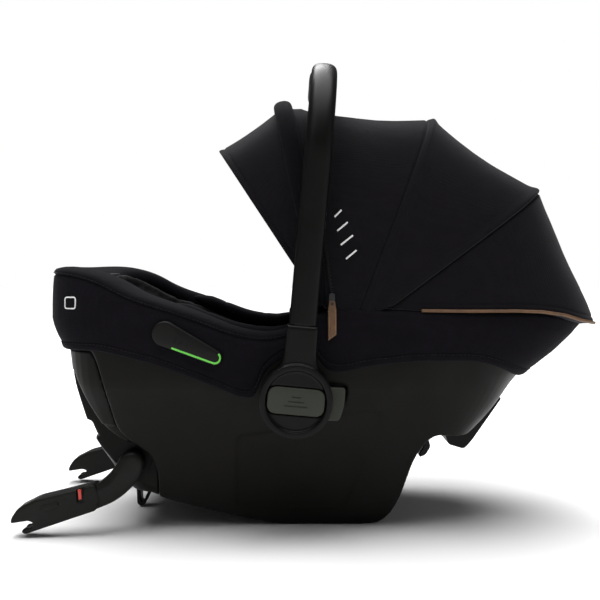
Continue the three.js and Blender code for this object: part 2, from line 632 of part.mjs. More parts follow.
// ---- lower anchor arms ---------------------------------------------------------------------
const ARM_OUTLINE = [
  [-334, 22, 3], [-325, 34.5, 4], [-274, 50], [-238, 63, 12], [-217, 81, 8], [-211, 97, 8],
  [-190, 102, 10], [-179, 88, 9], [-188, 62, 10], [-212, 42, 14], [-264, 20], [-312, 2.6, 4],
  [-321, 1, 3], [-325, 7, 2],
];
const SLOT_FROM = { x: -350, z: 7.6 };
const SLOT_TO = { x: -309, z: 22.2 };
const armInner = ANCHOR_SPACING / 2 - ANCHOR_WIDTH / 2;
const armOuter = ANCHOR_SPACING / 2 + ANCHOR_WIDTH / 2;
const JAW = [[-322, 9.2, 1], [-300, 16, 2], [-296, 12, 2], [-304, 8.6, 2], [-319, 4.2, 1]];
const SLIDER = [[-298, 30, 3], [-276, 37, 3], [-279, 45.6, 3], [-301, 38.6, 3]];

function anchorArm(side) {
  const blade = sidePlate(ARM_OUTLINE, side, armInner, armOuter, 2);
  const slot = sidePlate(capsule(SLOT_FROM, SLOT_TO, 4.6), side, armInner - 1, armOuter + 1, 6);
  const jawRoom = sidePlate([
    [-326, 13, 1], [-300, 22, 2], [-292, 14, 2], [-298, 4.6, 2], [-312, 4.6], [-326, 2.4],
  ], side, armInner + 8, armOuter - 8);
  const sliderRoom = sidePlate(
    [[-300, 26], [-266, 36.5], [-271, 54], [-306, 43]], side, armOuter - 5, armOuter + 1);
  const shaftHole = disc(ANCHOR_PIVOT, 7 + GAP, side, armInner - 1, armOuter + 1, 16);
  return cut(blade, slot, jawRoom, sliderRoom, shaftHole);
}
const anchorJaw = (side) => cut(
  sidePlate(JAW, side, armInner + 8.5, armOuter - 8.5),
  sidePlate(capsule(SLOT_FROM, SLOT_TO, 4.7), side, armInner, armOuter, 6));
const anchorRelease = (side) => sidePlate(SLIDER, side, armOuter - 4.6, armOuter + 1.5);
const anchorShaft = () => disc(ANCHOR_PIVOT, 7, 1, -armOuter - 4, armOuter + 4, 16);

// Blocks fixed under the front panel that the shaft turns in.
function anchorBracket(side) {
  const block = sidePlate(
    [[-212, 71, 8], [-178, 71, 8], [-171, 96, 4], [-184, 109, 4], [-204, 109, 6]],
    side, armInner - 3.6, armInner - GAP);
  return cut(block, disc(ANCHOR_PIVOT, 7 + GAP, side, 110, 130, 16));
}

// ---- base details --------------------------------------------------------------------------
const FOOT_HALF = 11;
const FOOT_OUTLINE = [
  [-212, 66], [-211, 26, 3], [-218, 1, 3], [-197, 1, 3], [-190, 28, 3], [-190, 66],
];
const FOOT_LOOP = [[-209, 24, 2], [-213, 7, 2], [-201, 7, 2], [-196, 24, 2]];
const footSocket = () => plate([[-186, 30], [-186, 68], [-216, 68], [-216, 30]],
  -FOOT_HALF - 1, FOOT_HALF + 1);
const frontFoot = () => cut(
  plate(FOOT_OUTLINE, -FOOT_HALF, FOOT_HALF), plate(FOOT_LOOP, -FOOT_HALF - 1, FOOT_HALF + 1));

const hookSlot = () => plate([[150, 60], [192, 60], [192, 150], [150, 150]], -13, 13);
const latchHook = () => plate([
  [158, 134, 2], [184, 134, 2], [182, 84, 4], [184, 66, 3], [164, 64, 3], [162, 76, 2], [170, 80, 2],
  [168, 120, 3],
], -11, 11);

const RELEASE_HALF = 60;
const RELEASE_PLATE = [
  [250, 156, 2], [214, 108, 3], [190, 106, 3], [194, 93, 3], [214, 87, 4], [224, 98, 4], [262, 152, 3],
];
const rearReleaseSlot = () => plate(
  [[252.6, 165], [212, 109.5], [180, 107.5], [180, 60], [300, 60], [300, 165]],
  -RELEASE_HALF - 1, RELEASE_HALF + 1);
const rearRelease = () => plate(RELEASE_PLATE, -RELEASE_HALF, RELEASE_HALF);

// ---- harness -------------------------------------------------------------------------------
// A strap of webbing along side-view points, at a distance y from the middle.
function strap(points, y, halfBreadth, thickness) {
  const curve = new THREE.CatmullRomCurve3(
    points.map(([x, z, sideways = 0]) => new THREE.Vector3(x, y + sideways, z)));
  const steps = 4 * (points.length - 1);
  const row = (lift) => (offset) => {
    const line = [];
    for (let i = 0; i <= steps; i++) {
      const point = curve.getPoint(i / steps);
      const along = curve.getTangent(i / steps);
      const up = new THREE.Vector3(-along.z, 0, along.x).normalize();
      const sideAxis = new THREE.Vector3(0, 1, 0);
      line.push(point.addScaledVector(up, lift).addScaledVector(sideAxis, offset));
    }
    return line;
  };
  const layer = (lift) => [-halfBreadth, halfBreadth].map(row(lift));
  return slab(layer(thickness), layer(0));
}

const crotchStrap = () => strap([[-70, 126], [-67, 131], [-63.5, 137]], 0, 19, 3);
const buckleBody = () => cut(
  plate([
    [-68, 148, 8], [-50, 138, 8], [-14, 166, 8], [-30, 184, 8],
  ], -24, 24),
  plate([[-55.3, 154.6], [-43.3, 164.1], [-62, 188], [-74, 178]], -11, 11));
const buckleButton = () => plate(
  [[-57, 158.8, 2], [-46.5, 167.2, 2], [-55, 178, 2], [-65.4, 169.8, 2]], -10.5, 10.5);
const buckleTongue = (side) => sidePlate(
  [[-27, 184.2, 2], [-17, 172, 2], [2, 184, 4], [-8, 198, 4]], side, 3, 22);
const shoulderPoints = [
  [2, 196, 0], [40, 202, 6], [90, 206, 14], [130, 213, 18], [170, 226, 20], [206, 250, 20],
];
const shoulderStrap = (side) => strap(
  shoulderPoints.map(([x, z, out]) => [x, z, side * out]), side * 22, 17, 2.4);
const shoulderPad = (side) => strap(
  shoulderPoints.slice(1, 5).map(([x, z, out]) => [x, z + 3.4, side * out]), side * 22, 24, 9);
const adjusterButton = () => plate(
  [[-165.2, 183.9, 4], [-145.2, 166.9, 4], [-137.2, 174.9, 4], [-157.2, 192.9, 4]], -15, 15);
const adjusterStrap = () => strap([[-166, 185], [-190, 210], [-222, 243], [-240, 262]], 0, 12.5, 2.4);

// ---- assembly ------------------------------------------------------------------------------
const seat = new THREE.Group();

function add(name, solid, look) {
  const mesh = new THREE.Mesh(toGeometry(solid), finish(...look));
  mesh.name = name;
  seat.add(mesh);
}

function addPair(name, make, look) {
  add(`${name}_left`, make(-1), look);
  add(`${name}_right`, make(1), look);
}

add('outer_shell', outerShell(), SHELL_BLACK);
add('front_panel', frontPanel(), SHELL_BLACK);
add('foam_liner', foamLiner(), FOAM_GREY);
add('seat_pad', seatPad(), COVER_CLOTH);
add('seat_insert', seatInsert(), COVER_CLOTH);
add('head_support', headSupport(), COVER_CLOTH);
add('front_cover', frontCover(), COVER_CLOTH);
add('rear_cover', rearCover(), COVER_CLOTH);
addPair('hub_base', hubBase, SHELL_BLACK);
addPair('release_tab', (side) => sidePlate(TAB_OUTLINE, side, TAB_FACE - 10, TAB_FACE), BUTTON_GREY);
addPair('belt_guide', beltGuide, TRIM_BLACK);
addPair('belt_guide_trim', beltGuideTrim, GUIDE_GREEN);

add('handle_bar', handleTube(), HANDLE_BLACK);
add('handle_grip', handleGrip(), GRIP_BLACK);
addPair('handle_socket', handleSocket, HANDLE_BLACK);
addPair('handle_button', handleButton, BUTTON_GREY);

add('canopy_front_panel', canopyFrontPanel(), CANOPY_BLACK);
add('canopy_middle_panel', canopyMiddlePanel(), CANOPY_BLACK);
add('canopy_rear_panel', canopyRearPanel(), CANOPY_BLACK);
add('canopy_piping', canopyPiping(), LEATHER);
add('canopy_rim', canopyRim(), CANOPY_BLACK);
add('canopy_visor', canopyVisor(), CANOPY_BLACK);
add('canopy_front_bow', canopyFrontBow(), TRIM_BLACK);
add('canopy_middle_bow', canopyMiddleBow(), TRIM_BLACK);
add('canopy_rear_bow', canopyRearBow(), TRIM_BLACK);
addPair('canopy_mount', canopyMount, TRIM_BLACK);
addPair('zipper_slider', zipperSlider, STEEL);
addPair('zipper_pull', zipperPull, LEATHER);

add('crotch_strap', crotchStrap(), WEBBING);
add('buckle_body', buckleBody(), TRIM_BLACK);
add('buckle_button', buckleButton(), BUCKLE_RED);
addPair('buckle_tongue', buckleTongue, TRIM_BLACK);
addPair('shoulder_strap', shoulderStrap, WEBBING);
addPair('shoulder_pad', shoulderPad, COVER_CLOTH);
add('adjuster_button', adjusterButton(), BUTTON_GREY);
add('adjuster_strap', adjusterStrap(), WEBBING);

add('anchor_shaft', anchorShaft(), STEEL);
addPair('anchor_arm', anchorArm, TRIM_BLACK);
addPair('anchor_jaw', anchorJaw, STEEL);
addPair('anchor_release', anchorRelease, TRIM_BLACK);
addPair('anchor_bracket', anchorBracket, SHELL_BLACK);
add('front_foot', frontFoot(), TRIM_BLACK);
add('rear_release_handle', rearRelease(), TRIM_BLACK);
add('latch_hook', latchHook(), STEEL);

seat.position.x = -ORIGIN_X;
export default seat;
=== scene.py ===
"""Infant car seat: the visual model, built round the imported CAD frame."""
import json
import math

import bmesh
import bpy
import numpy as np
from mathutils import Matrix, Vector


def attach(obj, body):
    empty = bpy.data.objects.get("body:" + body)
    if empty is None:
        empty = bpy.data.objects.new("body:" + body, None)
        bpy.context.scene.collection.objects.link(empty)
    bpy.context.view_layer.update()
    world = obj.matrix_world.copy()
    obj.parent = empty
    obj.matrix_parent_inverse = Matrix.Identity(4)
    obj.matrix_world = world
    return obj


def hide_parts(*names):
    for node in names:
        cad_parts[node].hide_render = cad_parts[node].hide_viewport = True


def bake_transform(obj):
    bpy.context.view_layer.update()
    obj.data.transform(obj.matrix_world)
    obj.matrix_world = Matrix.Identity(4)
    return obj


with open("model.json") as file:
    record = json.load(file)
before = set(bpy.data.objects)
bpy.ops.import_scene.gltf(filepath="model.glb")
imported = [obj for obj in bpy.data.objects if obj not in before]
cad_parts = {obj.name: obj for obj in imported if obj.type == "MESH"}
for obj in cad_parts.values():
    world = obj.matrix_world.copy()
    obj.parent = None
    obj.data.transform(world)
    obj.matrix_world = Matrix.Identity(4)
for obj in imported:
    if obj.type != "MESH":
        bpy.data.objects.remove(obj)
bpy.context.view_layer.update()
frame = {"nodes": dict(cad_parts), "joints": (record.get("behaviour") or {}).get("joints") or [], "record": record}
HUB_M = next(j["pos_m"] for j in frame["joints"] if j["name"] == "handle_pivot")
SIDES = ((-1, "left"), (1, "right"))

# ---- numbers shared with the CAD: millimetres, x from the handle axis -------------------------
ORIGIN = np.array([HUB_M[0], 0.0, 0.0])
HUB = np.array([0.0, 170.0])
TUB_MIDDLE = -10.0
# The plan section is a superellipse, squarer at the foot than at the head.
FOOT_POWER, HEAD_POWER = 7.0, 4.5
HALF_WIDTH = [(0, 92), (45, 124), (89, 147), (118, 161), (150, 174), (185, 183.5), (222, 184),
              (262, 183), (330, 181)]
FOOT_END = [(0, -120), (45, -208), (89, -238), (118, -254), (150, -264), (185, -273),
            (222, -278), (262, -290), (330, -290)]
HEAD_END = [(0, 150), (45, 165), (89, 190), (118, 222), (150, 249), (185, 273), (222, 317),
            (262, 352), (330, 354)]
HANDLE_TILT = math.radians(5.1)


def metres(points):
    return np.asarray(points, float) / 1000.0 + ORIGIN


def smooth_line(pairs):
    """Smooth interpolation through (key, value) pairs that never overshoots them."""
    x, y = np.array([p[:2] for p in pairs], float).T
    h = np.diff(x)
    d = np.diff(y) / h
    m = np.zeros(len(x))
    same = d[:-1] * d[1:] > 0
    m[1:-1][same] = 2 * d[:-1][same] * d[1:][same] / (d[:-1] + d[1:])[same]
    m[0], m[-1] = d[0], d[-1]

    def value(q):
        q = np.clip(np.asarray(q, float), x[0], x[-1])
        i = np.clip(np.searchsorted(x, q) - 1, 0, len(x) - 2)
        t = (q - x[i]) / h[i]
        a, b = t * t * (3 - 2 * t), t * (1 - t)
        return y[i] * (1 - a) + y[i + 1] * a + h[i] * b * ((1 - t) * m[i] - t * m[i + 1])

    return value


half_width = smooth_line(HALF_WIDTH)
foot_end = smooth_line(FOOT_END)
head_end = smooth_line(HEAD_END)


# ---- meshes -----------------------------------------------------------------------------------
def link(name, mesh):
    obj = bpy.data.objects.new(name, mesh)
    bpy.context.scene.collection.objects.link(obj)
    return obj


def mesh_object(name, verts, faces, smooth=True):
    mesh = bpy.data.meshes.new(name)
    mesh.from_pydata(metres(verts).tolist(), [], [list(map(int, f)) for f in faces])
    mesh.update()
    if smooth:
        mesh.shade_smooth()
    return link(name, mesh)


def grid_faces(rows, columns, wrap_rows=False, wrap_columns=False, start=0, flip=False):
    faces = []
    for i in range(rows if wrap_rows else rows - 1):
        here, there = start + i * columns, start + (i + 1) % rows * columns
        for j in range(columns if wrap_columns else columns - 1):
            k = (j + 1) % columns
            a, b, c, d = here + j, here + k, there + k, there + j
            faces.append((a, d, c, b) if flip else (a, b, c, d))
    return faces


def fix_normals(obj):
    bm = bmesh.new()
    bm.from_mesh(obj.data)
    bmesh.ops.recalc_face_normals(bm, faces=bm.faces)
    bm.to_mesh(obj.data)
    bm.free()
    return obj


def loft(name, rings, closed=False):
    """Skin over rings of equal point counts, capped at both ends unless it closes on itself."""
    rings = np.asarray(rings, float)
    n, m = rings.shape[:2]
    faces = grid_faces(n, m, wrap_rows=closed, wrap_columns=True)
    verts = rings.reshape(-1, 3)
    if not closed:
        for ring in (0, n - 1):
            hub = len(verts)
            verts = np.vstack([verts, rings[ring].mean(axis=0)])
            faces += [(ring * m + j, ring * m + (j + 1) % m, hub) for j in range(m)]
    return fix_normals(mesh_object(name, verts, faces))


def unit(vectors):
    return vectors / np.maximum(np.linalg.norm(vectors, axis=-1, keepdims=True), 1e-9)


def tangents(path):
    return unit(np.gradient(path, axis=0))


def running_length(path):
    """The distance from a path's start to each of its points."""
    return np.concatenate([[0], np.cumsum(np.linalg.norm(np.diff(path, axis=0), axis=1))])


def point_normals(grid):
    """Unit normals of a grid of points."""
    return unit(np.cross(np.gradient(grid, axis=1), np.gradient(grid, axis=0)))


def cloth_sheet(name, outer, thickness, inward):
    """A closed sheet: its outer face, an inner face behind it, and a rounded edge all round."""
    rows, columns = outer.shape[:2]
    normal = point_normals(outer) * inward
    middle = outer + normal * thickness / 2
    border = [(0, j) for j in range(columns)] + [(i, columns - 1) for i in range(1, rows)]
    border += [(rows - 1, j) for j in range(columns - 2, -1, -1)]
    border += [(i, 0) for i in range(rows - 2, 0, -1)]
    edge = []
    for i, j in border:
        within = middle[np.clip(i, 1, rows - 2), np.clip(j, 1, columns - 2)]
        edge.append(middle[i, j] + unit(middle[i, j] - within) * thickness * 0.4)
    inner = outer + normal * thickness
    verts = np.vstack([outer.reshape(-1, 3), inner.reshape(-1, 3), edge])
    count = rows * columns
    faces = grid_faces(rows, columns) + grid_faces(rows, columns, start=count, flip=True)
    ring = [i * columns + j for i, j in border]
    for k, (a, b) in enumerate(zip(ring, ring[1:] + ring[:1])):
        c, d = 2 * count + k, 2 * count + (k + 1) % len(ring)
        faces += [(a, b, d, c), (c, d, count + b, count + a)]
    return fix_normals(mesh_object(name, verts, faces))


def evaluated(obj, *modifiers):
    """Applies modifiers given as (type, settings) and leaves a plain mesh."""
    for kind, settings in modifiers:
        mod = obj.modifiers.new(kind, kind)
        for key, value in settings.items():
            setattr(mod, key, value)
    deps = bpy.context.evaluated_depsgraph_get()
    deps.update()
    old, obj.data = obj.data, bpy.data.meshes.new_from_object(obj.evaluated_get(deps))
    obj.modifiers.clear()
    obj.data.name = obj.name
    bpy.data.meshes.remove(old)
    return obj


def boolean(obj, operation, *tools):
    for tool in tools:
        evaluated(obj, ("BOOLEAN", {"operation": operation, "object": tool, "solver": "MANIFOLD"}))
        bpy.data.objects.remove(tool)
    return obj


def remeshed(obj, voxel, rounds):
    """Rebuilds a solid from cubes of `voxel` mm and smooths it, which rounds every edge a little."""
    evaluated(obj, ("REMESH", {"mode": "VOXEL", "voxel_size": voxel / 1000}),
              ("SMOOTH", {"factor": 0.5, "iterations": rounds}))
    obj.data.shade_smooth()
    return obj


def smooth_by_angle(obj, degrees):
    obj.data.shade_smooth()
    obj.data.set_sharp_from_angle(angle=math.radians(degrees))
    return obj


def vertex_values(obj, key):
    values = np.zeros(len(obj.data.vertices) * 3)
    obj.data.vertices.foreach_get(key, values)
    return values.reshape(-1, 3)


def set_coordinates(obj, co):
    obj.data.vertices.foreach_set("co", np.ascontiguousarray(co, dtype=float).ravel())
    obj.data.update()


def corner(points, i, steps):
    """The round at one corner of [x, z] or [x, z, radius] points, or the corner itself."""
    at = np.array(points[i][:2], float)
    radius = points[i][2] if len(points[i]) > 2 else 0
    if radius <= 0:
        return [at]
    ends = []
    for other in (points[i - 1], points[(i + 1) % len(points)]):
        reach = np.array(other[:2], float) - at
        ends.append(at + reach * min(0.5, radius / np.linalg.norm(reach)))
    return [(1 - t) ** 2 * ends[0] + 2 * t * (1 - t) * at + t * t * ends[1]
            for t in np.arange(steps + 1) / steps]


def outline(points, steps=6):
    """Corner points, each with or without a radius, to a polygon with rounded corners."""
    return np.array([p for i in range(len(points)) for p in corner(points, i, steps)])


def polygon(points, steps=6):
    return outline(points, steps) if isinstance(points, list) else np.asarray(points, float)


def prism(points, low, high):
    """A side-view outline with thickness, from y = low to y = high."""
    flat = polygon(points)
    n = len(flat)
    verts = [(x, y, z) for y in (low, high) for x, z in flat]
    faces = [tuple(range(n)), tuple(range(2 * n - 1, n - 1, -1))]
    faces += [(j, (j + 1) % n, n + (j + 1) % n, n + j) for j in range(n)]
    return fix_normals(mesh_object("tool", verts, faces, smooth=False))


def side_prism(points, side, inner, outer):
    return prism(points, *sorted((side * inner, side * outer)))


def circle(count):
    """Directions evenly round a circle, as cosines and sines."""
    angles = np.arange(count) * 2 * math.pi / count
    return np.cos(angles), np.sin(angles)


def cylinder(centre, radius, side, inner, outer, count=48):
    c, s = circle(count)
    ring = np.stack([centre[0] + radius * c, centre[1] + radius * s], axis=1)
    return side_prism(ring, side, inner, outer)


def offset_loop(flat, by):
    """A closed polygon moved inward by a small distance."""
    after = np.roll(flat, -1, axis=0)
    area = np.sum(flat[:, 0] * after[:, 1] - after[:, 0] * flat[:, 1])
    ahead = unit(after - flat)
    turn = unit(ahead + np.roll(ahead, 1, axis=0))
    inward = np.stack([-turn[:, 1], turn[:, 0]], axis=1) * math.copysign(1, area)
    cosine = np.clip((turn * ahead).sum(axis=1), 0.5, 1)
    return flat + inward * (by / cosine)[:, None]


def resample(flat, spacing):
    """A closed polygon with points about `spacing` apart, keeping its corners."""
    made = []
    for a, b in zip(flat, np.roll(flat, -1, axis=0)):
        steps = max(1, int(round(np.linalg.norm(b - a) / spacing)))
        made += [a + (b - a) * k / steps for k in range(steps)]
    return np.array(made)


def rounded_plate(points, side, inner, outer, radius, crown=0.0, steps=6, arc=4,
                  back_radius=0.0):
    """A side-view outline with thickness, its outer edge rounded and its face slightly crowned."""
    flat = resample(polygon(points, steps), 4.0)
    layers = []
    turns = [math.pi / 2 * k / arc for k in range(arc + 1)]
    if back_radius > 0:
        layers += [(offset_loop(flat, back_radius * (1 - math.sin(a))),
                    inner + back_radius * (1 - math.cos(a))) for a in turns]
    else:
        layers.append((flat, inner))
    layers += [(offset_loop(flat, radius * (1 - math.cos(a))), outer - radius * (1 - math.sin(a)))
               for a in turns]
    middle = flat.mean(axis=0)
    top = offset_loop(flat, radius)
    layers += [(middle + (top - middle) * shrink, outer + crown * (1 - shrink ** 2))
               for shrink in (0.75, 0.5, 0.25)]
    return loft("plate", [[(x, side * y, z) for x, z in shape] for shape, y in layers])


def tube(name, path, radius, sides, closed=False):
    """A round tube along a path of 3-D points."""
    path = np.asarray(path, float)
    if closed:
        along = unit(np.roll(path, -1, axis=0) - np.roll(path, 1, axis=0))
    else:
        along = tangents(path)
    up = np.array([1.0, 0, 0]) if abs(along[0][2]) > 0.9 else np.array([0, 0, 1.0])
    c, s = circle(sides)
    rings = []
    for p, ahead in zip(path, along):
        up = unit(up - ahead * (ahead @ up))
        rings.append(p + radius * (c[:, None] * up + s[:, None] * np.cross(ahead, up)))
    return loft(name, rings, closed=closed)


def spaced(path, step):
    path = np.asarray(path, float)
    d = running_length(path)
    at = np.linspace(0, d[-1], max(2, int(round(d[-1] / step)) + 1))
    return np.stack([np.interp(at, d, path[:, k]) for k in range(3)], axis=1)


def stitching(name, paths, length=3.2, gap=1.6, radius=0.42):
    """Rows of thread stitches, five-sided, along paths of 3-D points."""
    verts, faces = [], []
    sides = 5
    c, s = circle(sides)
    for path in paths:
        line = spaced(path, (length + gap) / 4)
        for a, b in zip(line[:-3:4], line[3::4]):
            along = unit(b - a)
            up = np.array([0, 0, 1.0]) if abs(along[2]) < 0.8 else np.array([1.0, 0, 0])
            u = unit(np.cross(along, up))
            around = c[:, None] * u + s[:, None] * np.cross(along, u)
            start = len(verts)
            for t, thick in ((0.0, 0.35), (0.2, 1.0), (0.8, 1.0), (1.0, 0.35)):
                verts += list(a + (b - a) * t + radius * thick * around)
            faces += grid_faces(4, sides, wrap_columns=True, start=start)
            faces += [tuple(start + k for k in range(sides)),
                      tuple(start + 3 * sides + k for k in range(sides - 1, -1, -1))]
    return fix_normals(mesh_object(name, verts, faces))


def noise3(points, scale, seed):
    """Smooth repeatable noise, about -1 to 1, from a few sine waves."""
    p = np.asarray(points, float) / scale
    total = np.zeros(p.shape[:-1])
    rng = np.random.default_rng(int(seed * 10) + 7)
    for _ in range(7):
        k = rng.normal(size=3)
        k *= (0.7 + 0.9 * rng.random()) / np.linalg.norm(k)
        total += np.sin(2 * math.pi * (p @ k) + rng.random() * 6.28)
    return total / 3.4


def gauss(d, width):
    return np.exp(-(np.asarray(d, float) / width) ** 2)


# ---- materials --------------------------------------------------------------------------------
def node(tree, kind, inputs=None, **settings):
    made = tree.nodes.new(kind)
    for key, value in settings.items():
        setattr(made, key, value)
    for key, value in (inputs or {}).items():
        if isinstance(value, bpy.types.NodeSocket):
            tree.links.new(value, made.inputs[key])
        else:
            made.inputs[key].default_value = value
    return made


def start_material(name, roughness, metallic=0.0, specular=0.5, sheen=0.0, sheen_tint=(1, 1, 1)):
    material = bpy.data.materials.new(name)
    material.use_nodes = True
    tree = material.node_tree
    shader = tree.nodes["Principled BSDF"]
    shader.inputs["Roughness"].default_value = roughness
    shader.inputs["Metallic"].default_value = metallic
    shader.inputs["Specular IOR Level"].default_value = specular
    shader.inputs["Sheen Weight"].default_value = sheen
    shader.inputs["Sheen Roughness"].default_value = 0.45
    shader.inputs["Sheen Tint"].default_value = (*sheen_tint, 1)
    where = node(tree, "ShaderNodeTexCoord").outputs["Object"]
    return material, tree, shader, where


def noise(tree, where, scale, detail):
    settings = {"Vector": where, "Scale": scale, "Detail": detail}
    return node(tree, "ShaderNodeTexNoise", settings).outputs["Fac"]


def cells(tree, where, scale):
    settings = {"Vector": where, "Scale": scale}
    return node(tree, "ShaderNodeTexVoronoi", settings).outputs["Distance"]


def two_tone(tree, where, dark, light, scale, detail=3.0):
    ramp = node(tree, "ShaderNodeValToRGB", {"Fac": noise(tree, where, scale, detail)})
    for stop, position, colour in zip(ramp.color_ramp.elements, (0.32, 0.68), (dark, light)):
        stop.position = position
        stop.color = (*colour, 1)
    return ramp.outputs["Color"]


def lattice(tree, where, pitch, stretch=(1, 1, 1)):
    """A woven height field: sines along the three axes, so it shows on faces of any direction."""
    parts = node(tree, "ShaderNodeSeparateXYZ", {"Vector": where})
    waves = []
    for axis, factor in zip("XYZ", stretch):
        turns = {0: parts.outputs[axis], 1: 2 * math.pi / pitch * factor}
        scaled = node(tree, "ShaderNodeMath", turns, operation="MULTIPLY")
        wave = node(tree, "ShaderNodeMath", {0: scaled.outputs[0]}, operation="SINE").outputs[0]
        if waves:
            both = {0: waves[-1], 1: wave}
            wave = node(tree, "ShaderNodeMath", both, operation="ADD").outputs[0]
        waves.append(wave)
    return waves[-1]


def bump(tree, shader, height, strength, distance, under=None):
    inputs = {"Height": height, "Strength": strength, "Distance": distance}
    if under is not None:
        inputs["Normal"] = under
    made = node(tree, "ShaderNodeBump", inputs)
    tree.links.new(made.outputs["Normal"], shader.inputs["Normal"])
    return made.outputs["Normal"]


def fabric(name, dark, light, pitch, sheen, sheen_tint, weave=0.35):
    material, tree, shader, where = start_material(
        name, 0.9, specular=0.07, sheen=sheen, sheen_tint=sheen_tint)
    broad = two_tone(tree, where, dark, light, 60.0)
    fine = two_tone(tree, where, [0.72 * c for c in dark], [1.25 * c for c in light], 900.0, 2.0)
    mix = node(tree, "ShaderNodeMix", {0: 0.5, 6: broad, 7: fine}, data_type="RGBA")
    threads = lattice(tree, where, pitch)
    shade = node(tree, "ShaderNodeMapRange", {"Value": threads, "From Min": -2.2, "From Max": 2.2,
                                              "To Min": 0.78, "To Max": 1.12})
    tinted = node(tree, "ShaderNodeVectorMath", {0: mix.outputs[2], 1: shade.outputs[0]},
                  operation="MULTIPLY")
    tree.links.new(tinted.outputs[0], shader.inputs["Base Color"])
    fuzz = bump(tree, shader, noise(tree, where, 420.0, 4.0), 0.22, 0.0008)
    bump(tree, shader, threads, weave, 0.00018, fuzz)
    return material


def plastic(name, dark, light, roughness, grain, specular=0.5, grain_scale=1800.0):
    material, tree, shader, where = start_material(name, roughness, specular=specular)
    tree.links.new(two_tone(tree, where, dark, light, 22.0), shader.inputs["Base Color"])
    rough = node(tree, "ShaderNodeMapRange", {
        "Value": noise(tree, where, 35.0, 3.0), "From Min": 0.3, "From Max": 0.7,
        "To Min": roughness - 0.05, "To Max": roughness + 0.06})
    tree.links.new(rough.outputs[0], shader.inputs["Roughness"])
    bump(tree, shader, cells(tree, where, grain_scale), grain, 0.00012)
    return material


def leather(name):
    material, tree, shader, where = start_material(name, 0.52, specular=0.4)
    tone = two_tone(tree, where, (0.068, 0.031, 0.011), (0.120, 0.058, 0.022), 110.0, 5.0)
    tree.links.new(tone, shader.inputs["Base Color"])
    creases = bump(tree, shader, noise(tree, where, 260.0, 6.0), 0.35, 0.0006)
    bump(tree, shader, cells(tree, where, 950.0), 0.3, 0.0002, creases)
    return material


def webbing(name, dark, light):
    material, tree, shader, where = start_material(name, 0.72, specular=0.35, sheen=0.15)
    tree.links.new(two_tone(tree, where, dark, light, 300.0), shader.inputs["Base Color"])
    bump(tree, shader, lattice(tree, where, 0.0021, (0.5, 1.0, 0.5)), 0.5, 0.00025)
    return material


def metal(name, dark, light, roughness):
    material, tree, shader, where = start_material(name, roughness, metallic=1.0)
    brushed = node(tree, "ShaderNodeVectorMath", {0: where, 1: (1.0, 0.08, 1.0)},
                   operation="MULTIPLY").outputs[0]
    tree.links.new(two_tone(tree, brushed, dark, light, 900.0), shader.inputs["Base Color"])
    bump(tree, shader, noise(tree, brushed, 1500.0, 2.0), 0.12, 0.0001)
    return material


def foam(name):
    material, tree, shader, where = start_material(name, 0.85, specular=0.3)
    tone = two_tone(tree, where, (0.028, 0.029, 0.034), (0.05, 0.05, 0.056), 150.0)
    tree.links.new(tone, shader.inputs["Base Color"])
    bump(tree, shader, cells(tree, where, 330.0), 0.6, 0.0006)
    return material


# slot: name, dark, light, roughness, grain, and where needed specular and the grain's scale
PLASTICS = {
    "shell_plastic": ("shell_satin", (0.0030, 0.0028, 0.0022), (0.0042, 0.0039, 0.0032), 0.45, 0.12,
                      0.10),
    "handle_plastic": ("handle_satin", (0.0020, 0.0020, 0.0018), (0.0030, 0.0030, 0.0027), 0.38,
                       0.10, 0.12),
    "button_grey": ("button_satin", (0.027, 0.0295, 0.023), (0.034, 0.0365, 0.029), 0.46, 0.10,
                    0.14),
    "trim_black": ("trim_satin", (0.0040, 0.0036, 0.0032), (0.0058, 0.0052, 0.0048), 0.42, 0.10,
                   0.14),
    "grip_rubber": ("grip_soft", (0.018, 0.018, 0.018), (0.024, 0.024, 0.023), 0.68, 0.45, 0.35,
                    700.0),
    "guide_green": ("guide_bright", (0.10, 0.50, 0.045), (0.13, 0.58, 0.06), 0.42, 0.05),
    "buckle_red": ("buckle_red", (0.46, 0.014, 0.010), (0.56, 0.022, 0.015), 0.38, 0.06),
    "arm_black": ("arm_satin", (0.0052, 0.0050, 0.0044), (0.0070, 0.0067, 0.006), 0.45, 0.12, 0.14),
    "indicator_red": ("indicator_red", (0.46, 0.030, 0.016), (0.54, 0.040, 0.022), 0.35, 0.04),
    "print_white": ("print_white", (0.60, 0.60, 0.60), (0.72, 0.72, 0.72), 0.55, 0.16),
}
# slot: name, dark, light, pitch of the threads, sheen and its tint, and where needed the weave
FABRICS = {
    "insert_fabric": ("insert_knit", (0.0105, 0.0100, 0.0118), (0.0150, 0.0142, 0.0164), 0.0012,
                      0.12, (0.64, 0.62, 0.68)),
    "cover_fabric": ("cover_knit", (0.0030, 0.0025, 0.0038), (0.0048, 0.0041, 0.0060), 0.0014,
                     0.035, (0.62, 0.60, 0.68)),
    "canopy_fabric": ("canopy_weave", (0.0036, 0.0031, 0.0041), (0.0056, 0.0049, 0.0062), 0.0011,
                      0.10, (0.66, 0.64, 0.68), 0.28),
    "thread": ("thread_dark", (0.0075, 0.0068, 0.0085), (0.013, 0.012, 0.0145), 0.0007, 0.1,
               (0.7, 0.7, 0.75)),
    "thread_tan": ("thread_tan", (0.35, 0.20, 0.10), (0.46, 0.28, 0.15), 0.0007, 0.1,
                   (0.9, 0.8, 0.7)),
    # The rim knit is darker and less sheened than the canopy's: painted shade for the dark band along the rolls.
    "rim_fabric": ("rim_knit_painted_shade", (0.0022, 0.0018, 0.0026), (0.0036, 0.0030, 0.0042), 0.0012, 0.03,
                   (0.62, 0.60, 0.68), 0.3),
    # The liner's knit is about ten times lighter than the cover's: painted light that lifts the shaded inner walls
    # of the seat.
    "liner_fabric": ("liner_knit_painted_light", (0.030, 0.028, 0.0295), (0.042, 0.0395, 0.0415), 0.0013, 0.06,
                     (0.64, 0.62, 0.66)),
}
